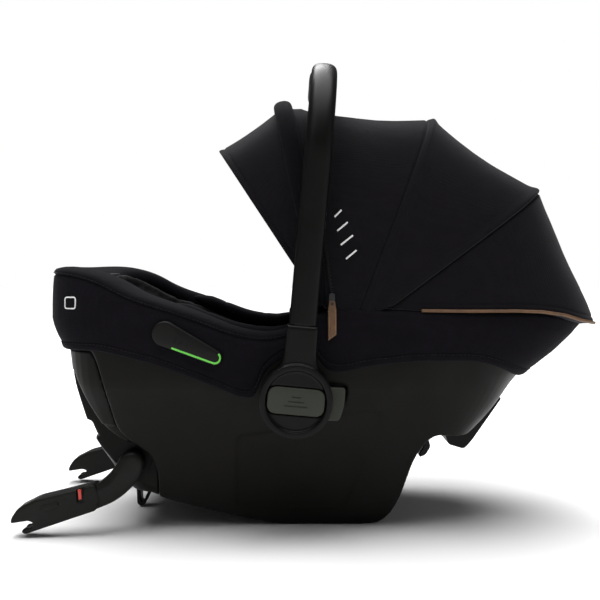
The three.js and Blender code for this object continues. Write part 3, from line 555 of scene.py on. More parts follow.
MATERIALS = {
    **{slot: plastic(*values) for slot, values in PLASTICS.items()},
    **{slot: fabric(*values) for slot, values in FABRICS.items()},
    "steel": metal("steel_dark", (0.026, 0.026, 0.027), (0.046, 0.046, 0.048), 0.36),
    "hook_black": metal("hook_black", (0.012, 0.012, 0.0125), (0.022, 0.022, 0.023), 0.42),
    "leather": leather("leather_brown"),
    "webbing": webbing("webbing_black", (0.006, 0.006, 0.0068), (0.0105, 0.0105, 0.0115)),
    "impact_foam": foam("bead_foam"),
}


def piece(obj, slot, body, replaces=(), name=None):
    """Names a mesh, gives it the material of its finish slot and its body, and hides the CAD nodes it stands for.
    """
    if name:
        obj.name = name
        obj.data.name = name
    obj.data.materials.clear()
    obj.data.materials.append(MATERIALS[slot])
    if body:
        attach(obj, body)
    if replaces:
        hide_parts(*replaces)
    return obj


# ---- the tub that shell and covers share ------------------------------------------------------
LEVEL_STEP = 2.0
LEVEL_LIST = np.arange(0.0, 332.0, LEVEL_STEP)


def plan_radius(c, s, z, out=0.0):
    """How far the wall is from the tub's middle in directions (c, s), the tub grown by `out`."""
    foot = c < 0
    power = np.where(foot, FOOT_POWER, HEAD_POWER)
    reach = np.where(foot, TUB_MIDDLE - foot_end(z), head_end(z) - TUB_MIDDLE) + out
    wide = half_width(z) + out
    return 1 / (np.abs(c / reach) ** power + np.abs(s / wide) ** power) ** (1 / power)


def build_table():
    """Plan sections of the left half: length along the wall, x and y at each level."""
    theta = np.linspace(-math.pi, 0, 361)
    c, s = np.cos(theta), np.sin(theta)
    table = []
    for z in LEVEL_LIST:
        r = plan_radius(c, s, z)
        x, y = TUB_MIDDLE + r * c, r * s
        along = running_length(np.stack([x, y], axis=1))
        table.append((along - along[len(along) // 2] + TUB_MIDDLE, x, y))
    return np.array(table).transpose(1, 0, 2)


TABLE_U, TABLE_X, TABLE_Y = build_table()


def tub_point(u, z, out=0.0, head_out=None):
    """A point on the tub: u runs along the left side in millimetres of wall, z is the height."""
    u, z, out = np.broadcast_arrays(np.asarray(u, float), np.asarray(z, float),
                                    np.asarray(out, float))
    head_out = out if head_out is None else np.broadcast_to(np.asarray(head_out, float), u.shape)
    place = np.clip(z / LEVEL_STEP, 0, len(LEVEL_LIST) - 1.001)
    low = place.astype(int)
    x, y = np.zeros(u.shape), np.zeros(u.shape)
    for k in np.unique(low):
        m = low == k
        share = (place - low)[m]
        for values, table in ((x, TABLE_X), (y, TABLE_Y)):
            values[m] = np.interp(u[m], TABLE_U[k], table[k]) * (1 - share) + np.interp(
                u[m], TABLE_U[k + 1], table[k + 1]) * share
    head = x > TUB_MIDDLE
    reach = np.where(head, head_end(z) - TUB_MIDDLE, TUB_MIDDLE - foot_end(z))
    grown = np.where(head, reach + head_out, reach + out)
    return np.stack([TUB_MIDDLE + (x - TUB_MIDDLE) * grown / reach,
                     y * (half_width(z) + out) / half_width(z), z], axis=-1)


def tub_solid(out, count=180, heights=None):
    """The closed tub, grown outward by a number or by a function of the height."""
    c, s = circle(count)
    rings = []
    for z in np.linspace(0, 330, 36) if heights is None else heights:
        r = plan_radius(c, s, z, out(z) if callable(out) else out)
        rings.append(np.stack([TUB_MIDDLE + r * c, r * s, np.full(count, z)], axis=1))
    return loft("tub", rings)


def joined(first, *others):
    """One object from several that don't touch."""
    bm = bmesh.new()
    for obj in (first, *others):
        bm.from_mesh(obj.data)
    bm.to_mesh(first.data)
    bm.free()
    for obj in others:
        bpy.data.objects.remove(obj)
    return first


FAR = 420.0
CREST = [(-FAR, 320), (-266, 320), (-226, 310, 20), (-190, 290), (-125, 270), (-65, 247, 20),
         (-22, 243, 12), (20, 262, 20), (52, 273), (111, 271), (197, 268), (282, 267), (310, 263),
         (332, 257), (366, 250), (FAR, 244)]
SEAT_LINE = [(-FAR, 268), (-262, 262), (-225, 228, 20), (-150, 150, 30), (-80, 112, 30),
             (-20, 102, 30), (60, 122, 20), (150, 165), (250, 214, 20), (310, 244), (FAR, 270)]
PANEL_REGION = [(-FAR, 30), (-166, 30), (-165, 74), (-171, 97, 9), (-196, 117, 12),
                (-209, 130, 12), (-217, 165, 20), (-228, 205, 20), (-236, 222), (-FAR, 222)]
FRONT_HEM = [(-FAR, 222.5), (-268, 223), (-222, 223, 12), (-156, 207, 20), (-95, 184, 20),
             (-64, 170, 9), (-48, 169, 7), (-36, 200, 10), (-14, 217, 10), (40, 217)]
REAR_HEM = [(-FAR, 216), (24, 216), (35, 201, 8), (53, 199, 14), (81, 206, 14), (141, 212, 20),
            (207, 211, 16), (236, 202, 14), (262, 188, 12), (FAR, 188)]
SHELL_OUTLINE = [(-20, 0, 14), (103, 0, 10), (117, 14, 8), (127, 36, 12), (140, 87, 12),
                 (151, 110, 10), (165, 121, 8), (200, 115, 12), (FAR, 120), (-FAR, 45), (-176, 45),
                 (-155, 36), (-101, 20, 20), (-50, 6, 20)]


def line_of(points):
    """A side-view line with rounded corners, as a function of x."""
    within = [p for i in range(1, len(points) - 1) for p in corner(points, i, 8)]
    x, z = np.array([points[0][:2], *within, points[-1][:2]], float).T
    return lambda at: np.interp(at, x, z)


crest = line_of([(p[0], p[1], 24) for p in CREST])
front_hem = line_of(FRONT_HEM)
rear_hem = line_of(REAR_HEM)


# ---- moulded shell ----------------------------------------------------------------------------
def wall_at(x, z, out, side):
    """Where the tub's side wall is, at a side-view point."""
    head = x > TUB_MIDDLE
    reach = np.where(head, head_end(z) - TUB_MIDDLE, TUB_MIDDLE - foot_end(z))
    power = np.where(head, HEAD_POWER, FOOT_POWER)
    share = np.abs(np.clip((x - TUB_MIDDLE) / reach, -1, 1))
    return side * (half_width(z) * (1 - share ** power) ** (1 / power) + out)


def wall_tool(points, side, depth):
    """A cutter whose inner face follows the side wall at a depth."""
    flat = resample(outline(points, 8), 5.0)
    middle = flat.mean(axis=0)
    rings = [[(p[0], side * 210, p[1]) for p in flat],
             [(p[0], wall_at(p[0], p[1], 1.0, side), p[1]) for p in flat]]
    inner = offset_loop(flat, 1.6)
    for share in (1.0, 0.86, 0.72, 0.58, 0.44, 0.3, 0.15):
        ring = middle + (inner - middle) * share
        rings.append([(p[0], wall_at(p[0], p[1], -depth, side), p[1]) for p in ring])
    return loft("tool", rings)


SHELL_WALL, RECESS_DEPTH = 7.5, 2.4
RECESS = [(-74, 26, 14), (60, 26, 10), (104, 150, 20), (88, 155, 16), (40, 149, 10),
          (-30, 128, 14), (-70, 124, 12)]
TAB_POCKET = [(31, 142.6, 2), (49.3, 142.6, 3), (56.6, 159.6, 10), (58.2, 184, 3), (31, 185.4, 2)]
BOW_POCKET = [(66, 258), (124, 258), (128, 263), (192, 268), (192, 300), (66, 300)]
HOLLOW_FLOOR = [(-FAR, 75), (-160, 70), (-101, 60), (-45, 50), (95, 50), (128, 75), (147, 122, 8),
                (168, 133, 6), (200, 128), (FAR, 132)]
HOOK_WELL = [(150, 60), (192, 60), (192, 108), (150, 108)]
REAR_RELEASE_WELL = [(252.6, 165), (212, 109.5), (193, 108.5), (193, 60), (300, 60), (300, 165)]
ARM_BAY = [(-FAR, 20), (-160, 20), (-160, 110), (-202, 113, 6), (-224, 128, 6), (-244, 160, 8),
           (-262, 196), (-FAR, 196)]


def make_shell():
    top = [(p[0], p[1] - 8, *p[2:]) for p in CREST if abs(p[0]) < FAR]
    shell = tub_solid(0)
    boolean(shell, "INTERSECT", prism([*SHELL_OUTLINE[:9], (FAR, 250), *top[::-1], (-FAR, 312),
                                      *SHELL_OUTLINE[9:]], -FAR, FAR))
    hollow = tub_solid(-SHELL_WALL)
    boolean(hollow, "INTERSECT", prism([*HOLLOW_FLOOR, (FAR, FAR), (-FAR, FAR)], -FAR, FAR))
    boolean(shell, "DIFFERENCE", hollow)
    cutters = [prism(PANEL_REGION, -FAR, FAR), prism(HOOK_WELL, -13, 13),
               prism(REAR_RELEASE_WELL, -61, 61)]
    for side in (-1, 1):
        cutters += [cylinder(HUB, 37.5, side, 166, 230), side_prism(TAB_POCKET, side, 177, 230),
                    side_prism(BOW_POCKET, side, 164, 200)]
    boolean(shell, "DIFFERENCE", joined(*cutters))
    recesses = joined(*[wall_tool(RECESS, side, RECESS_DEPTH) for side in (-1, 1)])
    boolean(shell, "DIFFERENCE", recesses)
    remeshed(shell, 2.1, 5)
    piece(shell, "shell_plastic", "seat", ["outer_shell"], "shell_moulding")


def make_front_panel():
    def inset(z):
        return -7.5 if 113 < z < 133 else -3.0

    panel = tub_solid(inset, heights=sorted([*np.linspace(0, 330, 34), 111.5, 113.6, 132.4, 134.5]))
    region = [(p[0] - 0.4, p[1] - 0.3, *p[2:]) for p in PANEL_REGION[2:]]
    boolean(panel, "INTERSECT",
            prism([(-FAR, 45), (-176, 45), (-166.4, 41), *region], -FAR, FAR))
    boolean(panel, "DIFFERENCE", tub_solid(-26))
    socket = prism([(-186, 30), (-186, 68), (-216, 68), (-216, 30)], -12, 12)
    bays = [side_prism(ARM_BAY, side, 122, 200) for side in (-1, 1)]
    boolean(panel, "DIFFERENCE", joined(socket, *bays))
    remeshed(panel, 1.9, 4)
    piece(panel, "shell_plastic", "seat", ["front_panel"], "front_moulding")
    for side, word in SIDES:
        peg = rounded_plate([(-243, 224, 1), (-234, 224, 1), (-234.5, 213, 4), (-241, 212, 4)],
                            side, 146, 168, 2.5)
        piece(peg, "trim_black", "seat", name=f"front_peg_{word}")


# ---- sewn covers --------------------------------------------------------------------------------
def cover_columns(start_u, end_u, focus):
    """Column positions along the wall, closer together where the hem is steep."""
    fine = np.arange(start_u, end_u, 0.5)
    weight = np.full(len(fine), 1 / 4.2)
    for x0, x1, step in focus:
        weight[(fine > x0) & (fine < x1)] = 1 / step
    total = np.concatenate([[0], np.cumsum(weight[:-1] * 0.5)])
    return np.interp(np.linspace(0, total[-1], int(total[-1]) + 1), total, fine)


def solve_height(u, line):
    z = np.full(len(u), 230.0)
    for _ in range(6):
        z = 0.4 * z + 0.6 * line(tub_point(u, z)[:, 0])
    return z


# How far the cover's face stands off the shell, how far its seam is below the crest, and how far
# the crest sinks at the foot.
COVER_FACE, COVER_SEAM, FOOT_DIP = 3.5, 9.0, 1.5


def outward(points):
    """Directions away from the tub's middle, seen from above."""
    return unit((points - np.array([TUB_MIDDLE, 0, 0])) * np.array([1, 1, 0]))


def cover_profile(groove):
    """The sewn section: (distance out, what the height is counted from, height)."""
    face, seam = COVER_FACE, COVER_SEAM
    hem = [(-0.2, 9), (0.0, 3), (0.7, 0.4), (2.1, -0.3), (3.4, 0.9), (face + 0.5, 3.0),
           (face + 0.5, 5.5), (face + 0.1, 7.2), (face - 0.7, 8.2), (face, 9.4)]
    top = [(face, -seam - 2.2), (face - 1.3 * groove, -seam - 0.7), (face - 1.6 * groove, -seam),
           (face - 0.9 * groove, -seam + 0.7), (face + 0.1, -seam + 2.4),
           (face - 0.6, -seam + 4.6), (face - 2.5, -2.2), (-4, -0.6), (-9, 0.2), (-15, 0.3),
           (-20, -0.5), (-23.5, -1.8), (-24.6, -3.0), (-25.6, -2.2), (-29, -3.8), (-32.5, -8),
           (-34.6, -14), (-35.2, -22), (-33.5, -24), (-32.2, -16), (-27, -9.5), (-15, -7.4),
           (-4, -7.2), (0.0, -9.0), (0.1, -14)]
    wall = (0.06, 0.14, 0.24, 0.35, 0.46, 0.57, 0.68, 0.78, 0.88)
    return ([(out, "hem", z) for out, z in hem] + [(face, "wall", share) for share in wall]
            + [(out, "crest", z) for out, z in top] + [(0.1, "wall", 0.6), (0.0, "wall", 0.3)])


def make_cover(name, node_name, hem, start_u, end_u, focus, head_out, seed, groove):
    """A sewn cover round one end of the tub; returns its rows of points."""
    u = cover_columns(start_u, end_u, focus)
    low, high = solve_height(u, hem), solve_height(u, crest)
    place = tub_point(u, high)
    at_foot = np.clip((-200 - place[:, 0]) / 60, 0, 1)
    high = high - FOOT_DIP * at_foot * np.clip(1 - (place[:, 1] / 165) ** 2, 0, 1)
    head = np.where(u > 150, np.clip((u - 150) / 120, 0, 1), 0) * head_out
    rows = []
    for out, counted_from, value in cover_profile(groove):
        wall_low, wall_high = low + 10, high - COVER_SEAM - 3
        z = {"hem": low + value, "crest": high + value,
             "wall": wall_low + (wall_high - wall_low) * value}[counted_from]
        share = (z - low) / np.maximum(high - low, 1)
        on_face = out == COVER_FACE and counted_from == "wall"
        grown = out + (1.4 * np.sin(math.pi * np.clip(share, 0, 1)) if on_face else 0)
        scale = np.clip(out / COVER_FACE, -0.2, 1) if out > 0 else 0
        points = tub_point(u, z, grown, grown + head * scale)
        if out > 1:
            rumple = noise3(points, 70, seed) * 0.5 + noise3(points, 23, seed + 1) * 0.16
            fade = np.clip(share * 4, 0, 1) * np.clip((1 - share) * 6, 0, 1)
            points = points + outward(points) * (rumple * fade)[:, None]
        rows.append(points)
    left = np.array(rows)
    right = left[:, ::-1] * np.array([1, -1, 1])
    ends = (right[:, :-1], left) if start_u < -250 else (left, right[:, 1:])
    both = np.concatenate(ends, axis=1)
    cover = loft(name, both.transpose(1, 0, 2))
    piece(cover, "cover_fabric", "seat", [node_name])
    return both


def make_covers():
    foot_u, head_u = (float(np.interp(222, LEVEL_LIST, TABLE_U[:, end])) for end in (0, -1))
    front = make_cover("front_cover_sewn", "front_cover", front_hem, foot_u - 12, 5.4,
                       [(-70, -8, 1.0), (-330, -230, 2.6)], 0.0, 1.0, 1.0)
    rear = make_cover("rear_cover_sewn", "rear_cover", rear_hem, 6.2, head_u + 34,
                      [(8, 62, 1.1), (215, 340, 2.6)], 4.0, 3.0, 0.0)
    for name, both, sewn_rows in (("front", front, (7, 23)), ("rear", rear, (7,))):
        paths = [both[row] + outward(both[row]) * 0.3 for row in sewn_rows]
        piece(stitching(f"{name}_cover_thread", paths), "thread", "seat")


# ---- handle ---------------------------------------------------------------------------------
def lean(obj):
    """Turns a mesh about the handle axis by the handle's lean."""
    co = vertex_values(obj, "co")
    x = co[:, 0] - HUB_M[0]
    z = co[:, 2] - HUB_M[2]
    c, s = math.cos(HANDLE_TILT), math.sin(HANDLE_TILT)
    co[:, 0] = x * c + z * s + HUB_M[0]
    co[:, 2] = -x * s + z * c + HUB_M[2]
    set_coordinates(obj, co)
    return obj


REACH, BAR_RADIAL, BAR_FORE, ARM_THICK, ARM_Y, CORNER = 400.5, 25.0, 31.0, 18.0, 205.0, 115.0
GRIP_HALF, HUB_RADIUS = 62.0, 41.0
BAR_TOP = HUB[1] + REACH - BAR_RADIAL / 2
FORWARD = np.array([1.0, 0, 0])


def handle_line(low):
    """The bar's centre line: up the left arm, round a quarter circle, across, and down again."""
    arc = math.pi / 2 * np.arange(1, 29) / 28
    centre = ARM_Y - CORNER
    arm = [(ARM_Y, z) for z in np.linspace(low, BAR_TOP - CORNER, 30)]
    bend = [(centre + CORNER * math.cos(a), BAR_TOP - CORNER + CORNER * math.sin(a)) for a in arc]
    across = [(y, BAR_TOP) for y in np.linspace(centre, 0, 26)[1:]]
    half = arm + bend + across
    return np.array([(0, y, z) for y, z in half + [(-y, z) for y, z in half[-2::-1]]])


def section(half_a, half_b, power, count=40):
    """A superellipse, between an ellipse and a box."""
    c, s = circle(count)
    r = 1 / (np.abs(c) ** power + np.abs(s) ** power) ** (1 / power)
    return half_a * r * c, half_b * r * s


def make_handle():
    path = handle_line(250.0)
    rings = []
    for p, along in zip(path, tangents(path)):
        t = np.clip((p[2] - 400) / 110, 0, 1)
        thick = ARM_THICK + (BAR_RADIAL - ARM_THICK) * t * t * (3 - 2 * t)
        fore, radial = section(BAR_FORE / 2, thick / 2, 2.7)
        rings.append(p + fore[:, None] * FORWARD + radial[:, None] * np.cross(along, FORWARD))
    piece(lean(loft("handle_tube", rings)), "handle_plastic", "handle", ["handle_bar"])
    ends = GRIP_HALF - np.array([0, 0.4, 1.4])
    ys = [*-ends, *np.linspace(-GRIP_HALF + 3, GRIP_HALF - 3, 70), *ends[::-1]]
    rings = []
    for y in ys:
        end = GRIP_HALF - abs(y)
        swell = 2.0 * min(1, max(0.05, end / 2.2)) ** 0.5
        rib = 0.28 * math.cos(2 * math.pi * y / 7.0) if end > 8 else 0
        a, b = section(BAR_FORE / 2 + swell + rib, BAR_RADIAL / 2 + 0.35 * swell + rib * 0.5, 3.2)
        rings.append([(p, y, BAR_TOP + q) for p, q in zip(a, b)])
    piece(lean(loft("grip_sleeve", rings)), "grip_rubber", "handle", ["handle_grip"])
    for side, word in SIDES:
        make_socket(side, word)


def socket_outline():
    """The ring and the collar above it as one side-view outline, joined by soft shoulders."""
    ring = [(HUB_RADIUS * math.cos(a), HUB[1] + HUB_RADIUS * math.sin(a))
            for a in np.linspace(math.radians(122), math.radians(418), 90)]
    right = [(19.9, 211.2), (18.3, 217), (17.7, 224), (17.6, 236), (17.5, 254.0)]
    return np.array(ring + right + [(-x, z) for x, z in right[::-1]])


def rounded_bar(half_long, middle, half_high, radius):
    """A rounded rectangle about the handle axis."""
    low, high = middle - half_high, middle + half_high
    return [(-half_long, low, radius), (half_long, low, radius), (half_long, high, radius),
            (-half_long, high, radius)]


def make_socket(side, word):
    socket = rounded_plate(socket_outline(), side, 195.0, 217.0, 3.5)
    boolean(socket, "UNION", cylinder(HUB, HUB_RADIUS, side, 196, 220, 96))
    boolean(socket, "DIFFERENCE", cylinder(HUB, 34.0, side, 216.3, 230, 96),
            cylinder(HUB, 37, side, 190, 195.4, 96),
            side_prism(rounded_bar(32.6, HUB[1], 15.6, 11), side, 202, 230))
    lean(remeshed(socket, 1.15, 4))
    piece(socket, "handle_plastic", "handle", [f"handle_socket_{word}"], f"socket_{word}")
    button = rounded_plate(rounded_bar(32, HUB[1], 15, 11), side, 209, 218.9, 1.6, crown=0.5,
                           steps=8)
    grooves = [rounded_bar(half, HUB[1] + rise, 0.8, 0.8)
               for half, rise in ((13, -5), (9, 0), (5, 5))]
    boolean(button, "DIFFERENCE", *[side_prism(groove, side, 218.4, 222) for groove in grooves])
    lean(smooth_by_angle(button, 35))
    piece(button, "button_grey", f"handle_button_{word}", [f"handle_button_{word}"],
          f"push_button_{word}")


# ---- canopy ---------------------------------------------------------------------------------
CANOPY_HALF, CLOTH_THICK, ACROSS = 184.0, 2.0, 150
RIM_ARCH = dict(x=31.8, z=272, lean=101.2, reach=254.8)
FRONT_ARCH = dict(x=38, z=269, lean=97.5, reach=249.1)
RIDGE_ARCH = dict(x=80.5, z=267, lean=69.1, reach=253)
REAR_RIDGE = dict(x=100, z=270, lean=36.6, reach=241.6, power=6)
REAR_EDGE = dict(x=104, z=274.5, lean=-0.9, reach=262, power=5)
VISOR_ROOT = dict(x=29, z=285, lean=102.7, reach=234.5, half=182)
VISOR_EDGE = dict(x=20, z=287, lean=123.3, reach=211.7, half=178)
REAR_LINE = [(60, 271), (104, 272.5), (144, 270), (197, 269.4), (251, 269.6), (282, 268.5),
             (310, 264.5), (332, 258), (366, 251), (400, 246)]
# name, arch, half sizes fore and aft and up, how far inward, how rucked, and a seed
ROLLS = (("rim_roll", RIM_ARCH, 11.0, 8.0, 3.2, 0.0, 0.0),
         ("gather_roll_front", dict(RIM_ARCH, x=42.3, lean=98.3, reach=246), 7.0, 5.4, 5.4, 0.5,
          7.0),
         ("gather_roll_rear", dict(RIM_ARCH, x=50.2, lean=98.0, reach=245), 6.5, 4.6, 4.6, 0.6,
          9.0))
MARK_BARS = [((44, 376), (52, 384)), ((47, 360), (59, 370)), ((51, 344), (65, 355)),
             ((57, 328), (69, 338))]
MARK_SQUARE = [(-262, 271, 3), (-249, 271, 3), (-249, 284, 3), (-262, 284, 3)]
TOOTH_FACES = ((0, 1, 3, 2), (4, 6, 7, 5), (0, 4, 5, 1), (2, 3, 7, 6), (0, 2, 6, 4), (1, 5, 7, 3))
PULL_HOLE = (41.0, 277.0)
PULL = [(38, 280.6, 2), (44, 280.6, 2), (45.9, 270, 2), (46, 242, 1), (36.4, 235, 1), (36, 269, 2)]


def arch_point(arch, t, inward=0.0, droop=0.0):
    """Points of an arch: t runs from the left foot over the top to the right foot."""
    t = np.asarray(t, float)
    angle = 1e-6 + (math.pi - 2e-6) * t
    power = arch.get("power", 4.5)
    tilt = math.radians(arch["lean"])
    c, s = np.cos(angle), np.sin(angle)
    rise = (arch["reach"] - inward - droop) * np.abs(s) ** (2 / power)
    wide = (arch.get("half", CANOPY_HALF) - inward) * np.sign(c) * np.abs(c) ** (2 / power)
    return np.stack([arch["x"] + rise * math.cos(tilt), -wide,
                     arch["z"] + rise * math.sin(tilt)], axis=-1)


def even_steps(arch, count):
    """Values of t that space points evenly along an arch."""
    foot = 0.03 * np.linspace(0, 1, 160) ** 4
    t = np.concatenate([foot, np.linspace(0.03, 0.97, 600)[1:-1], 1 - foot[::-1]])
    d = running_length(arch_point(arch, t))
    return np.interp(np.linspace(0, d[-1], count), d, t)


def panel_grid(first, last, sag, rows, start=0.0):
    """Cloth from one arch to another: rows of points, with the sag between the arches."""
    ta, tb = (start + (1 - 2 * start) * even_steps(arch, ACROSS) for arch in (first, last))
    grid = []
    for s in 0.5 - 0.5 * np.cos(np.linspace(0, math.pi, rows)):
        droop = sag * 4 * s * (1 - s)
        grid.append(arch_point(first, ta, 0, droop) * (1 - s) + arch_point(last, tb, 0, droop) * s)
    return np.array(grid)


def inward_sign(grid):
    """1 if a grid's normals point into the canopy, and -1 if they point out of it."""
    middle = grid.mean(axis=(0, 1)) - np.array([0, 0, 60])
    return -1.0 if ((grid - middle) * point_normals(grid)).sum() > 0 else 1.0


def shape_cloth(grid, ridges, seed):
    """Raises soft ridges and sinks seams at distances from the first or last row."""
    step = np.linalg.norm(np.diff(grid, axis=0), axis=2)
    from_first = np.concatenate([np.zeros((1, grid.shape[1])), np.cumsum(step, axis=0)])
    to_last = from_first[-1] - from_first
    height = np.zeros(from_first.shape)
    for which, at, tall, width in ridges:
        height += tall * gauss((from_first if which == "first" else to_last) - at, width)
    fade = np.clip(np.minimum(from_first, to_last) / 25, 0, 1)
    folds = noise3(grid, 95, seed) * 0.8 + noise3(grid, 33, seed + 1) * 0.25
    height += 0.6 * fade * folds
    return grid - point_normals(grid) * inward_sign(grid) * height[..., None]


def blend_between(obj):
    """Bakes a piece's placement into its mesh."""
    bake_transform(obj)


def make_canopy():
    """Three cloth panels between the bows, sewn together along ridges and seams."""
    front = shape_cloth(panel_grid(FRONT_ARCH, RIDGE_ARCH, 6, 90),
                        [("last", 0, 1.6, 5), ("last", 8.5, -2.6, 1.3), ("first", 0, 1.0, 6)], 1)
    middle = shape_cloth(panel_grid(RIDGE_ARCH, REAR_RIDGE, 6, 90),
                         [("first", 0, 1.6, 5), ("last", 0, 1.8, 7)], 2)
    rear = panel_grid(REAR_RIDGE, REAR_EDGE, 3, 90)
    share = np.linspace(0, 1, len(rear))[:, None] ** 2.5
    rear[..., 2] += (line_of(REAR_LINE)(rear[-1, :, 0]) - rear[-1, :, 2])[None, :] * share
    rear = shape_cloth(rear, [("first", 0, 1.8, 3), ("first", 4, -3.0, 1.3),
                              ("last", 7, -0.8, 1.6)], 3)
    rear = np.concatenate([rear, tucked_edge(rear[-1])])
    under_rim = arch_point(RIM_ARCH, even_steps(FRONT_ARCH, ACROSS), 5.0)
    hemmed = np.concatenate([[under_rim, (under_rim + front[0]) / 2], front])
    make_marks(front)
    for name, grid, held, moves, start, end in (
            ("front", hemmed, "canopy_middle", "canopy_front", RIDGE_ARCH, FRONT_ARCH),
            ("middle", middle, "canopy_rear", "canopy_middle", REAR_RIDGE, RIDGE_ARCH),
            ("rear", rear, "seat", "canopy_rear", REAR_EDGE, REAR_RIDGE)):
        cloth = cloth_sheet(f"canopy_{name}_cloth", grid, CLOTH_THICK, inward_sign(grid))
        piece(cloth, "canopy_fabric", None, [f"canopy_{name}_panel"])
        blend_between(cloth)


def make_visor():
    grid = shape_cloth(panel_grid(VISOR_ROOT, VISOR_EDGE, 2, 56, 0.002),
                       [("last", 7, -1.0, 1.2), ("last", 1.5, 0.8, 2.5)], 5)
    visor = cloth_sheet("visor_cloth", grid, CLOTH_THICK, inward_sign(grid))
    piece(visor, "canopy_fabric", "canopy_front", ["canopy_visor"])


def make_rim():
    """The padded roll over the front bow, with the gathered rolls of the zipped panel behind it."""
    for name, arch, fore_half, high_half, inward, ruck, seed in ROLLS:
        t = 1e-5 + (1 - 2e-5) * even_steps(arch, 200)
        path = arch_point(arch, t, inward)
        tilt = math.radians(arch["lean"])
        fore = np.array([-math.sin(tilt), 0, math.cos(tilt)])
        rings = []
        for k, (p, along) in enumerate(zip(path, tangents(path))):
            share = min(1.0, max(0.0, (p[2] - 281) / 130)) ** 0.6
            wave = 1 + ruck * 0.12 * math.sin(k * 0.9 + seed) + ruck * 0.1 * math.sin(k * 0.37)
            a, b = section((5.0 + (fore_half - 5.0) * share) * wave,
                           2.6 + (high_half - 2.6) * share, 2.3, 28)
            rings.append(p + a[:, None] * fore + b[:, None] * unit(np.cross(along, fore)))
        roll = loft(name, rings)
        # The rolls' darker rim fabric is painted shade.
        piece(roll, "rim_fabric", "canopy_front", ["canopy_rim"] if name == "rim_roll" else [])


def make_piping():
    t = 1e-4 + (1 - 2e-4) * even_steps(REAR_EDGE, 300)
    path = arch_point(REAR_EDGE, t, -0.8)
    path[:, 2] = line_of(REAR_LINE)(path[:, 0]) - 1.0
    piping = tube("piping_leather", path[path[:, 0] > 142], 1.9, 10)
    piece(piping, "leather", "seat", ["canopy_piping"])


def tucked_edge(edge):
    """Rows that carry the rear cloth's lower edge inward onto the cover's top."""
    inward = np.stack([np.minimum(180 - edge[:, 0], 0), -edge[:, 1], np.zeros(len(edge))], axis=1)
    inward[:, 1] *= np.where(edge[:, 0] > 180, 1, 100)
    return np.array([edge + unit(inward) * reach - np.array([0, 0, drop])
                     for reach, drop in ((1.2, 1.0), (4, 1.6), (8, 2.0), (14, 2.4), (20, 3.4))])


def make_marks(front):
    """Plain printed bars on the canopy and a plain square on the front cover."""
    side = front[:, : front.shape[1] // 4].reshape(-1, 3)
    for index, (a, b) in enumerate(MARK_BARS):
        line = np.linspace(a, b, 12)
        y = [side[np.argmin((side[:, 0] - x) ** 2 + (side[:, 2] - z) ** 2)][1] for x, z in line]
        y = np.convolve(np.pad(y, 2, mode="edge"), np.ones(5) / 5, mode="valid")
        bar = tube(f"canopy_mark_{index}", np.stack([line[:, 0], y + 0.2, line[:, 1]], 1), 1.1, 8)
        piece(bar, "print_white", None)
        blend_between(bar)
    path = []
    for x, z in resample(outline(MARK_SQUARE), 1.0):
        level = int(z / LEVEL_STEP)
        path.append(tub_point(np.interp(x, TABLE_X[level], TABLE_U[level]), z, 5.1))
    piece(tube("cover_mark", path, 0.8, 6, closed=True), "print_white", "seat")


def make_zipper():
    for side, word in SIDES:
        path = arch_point(dict(FRONT_ARCH, x=43.5), even_steps(FRONT_ARCH, 200)[:90], -2.2)
        path = path[(path[:, 2] > 286) & (path[:, 2] < 470)]
        path[:, 1] *= -side
        verts, faces = [], []
        line = spaced(path, 2.2)
        for k, p in enumerate(line):
            along = unit(line[min(k + 1, len(line) - 1)] - line[max(k - 1, 0)])
            out = np.array([0, side, 0.0]) if abs(p[1]) > 165 else np.array([0, 0, 1.0])
            out = unit(out - along * (out @ along))
            across = np.cross(along, out)
            middle = p + across * (0.55 if k % 2 else -0.55)
            faces += [tuple(len(verts) + i for i in face) for face in TOOTH_FACES]
            verts += [middle + along * a + across * b + out * c
                      for a in (-0.65, 0.65) for b in (-1.5, 1.5) for c in (-0.6, 0.7)]
        teeth = fix_normals(mesh_object(f"zipper_teeth_{word}", verts, faces, smooth=False))
        piece(teeth, "trim_black", "canopy_front")


def make_pulls():
    for side, word in SIDES:
        pull = rounded_plate(PULL, side, 189.6, 191.6, 0.7, steps=5, back_radius=0.6)
        boolean(pull, "DIFFERENCE", cylinder(PULL_HOLE, 1.8, side, 185, 196, 24))
        smooth_by_angle(pull, 40)
        piece(pull, "leather", f"zipper_pull_{word}", [f"zipper_pull_{word}"], f"pull_tab_{word}")
        inner = offset_loop(resample(outline(PULL, 4), 2.0), 1.3)
        path = [(x, side * 191.75, z) for x, z in inner if z < PULL_HOLE[1] - 7]
        thread = stitching(f"pull_thread_{word}", [path], 1.6, 0.9, 0.22)
        piece(thread, "thread_tan", f"zipper_pull_{word}")


# ---- belt guides ------------------------------------------------------------------------------
GUIDE_FROM, GUIDE_TO = np.array([-149.0, 243.0]), np.array([-92.0, 216.0])
GUIDE_R0, GUIDE_R1, GUIDE_FACE = 14.5, 8.5, 188.2


def guide_outline(shrink=0.0, count=20):
    """Two rounds and the straight edges between them."""
    r0, r1 = GUIDE_R0 - shrink, GUIDE_R1 - shrink
    x, z = GUIDE_TO - GUIDE_FROM
    angle = math.atan2(z, x)
    lean_by = math.acos((r0 - r1) / math.hypot(x, z))
    made = []
    high, low = angle + lean_by, angle - lean_by
    for centre, radius, first, last in ((GUIDE_FROM, r0, high, low + 2 * math.pi),
                                        (GUIDE_TO, r1, low, high)):
        made += [centre + radius * np.array([math.cos(w), math.sin(w)])
                 for w in np.linspace(first, last, count)]
    return np.array(made)


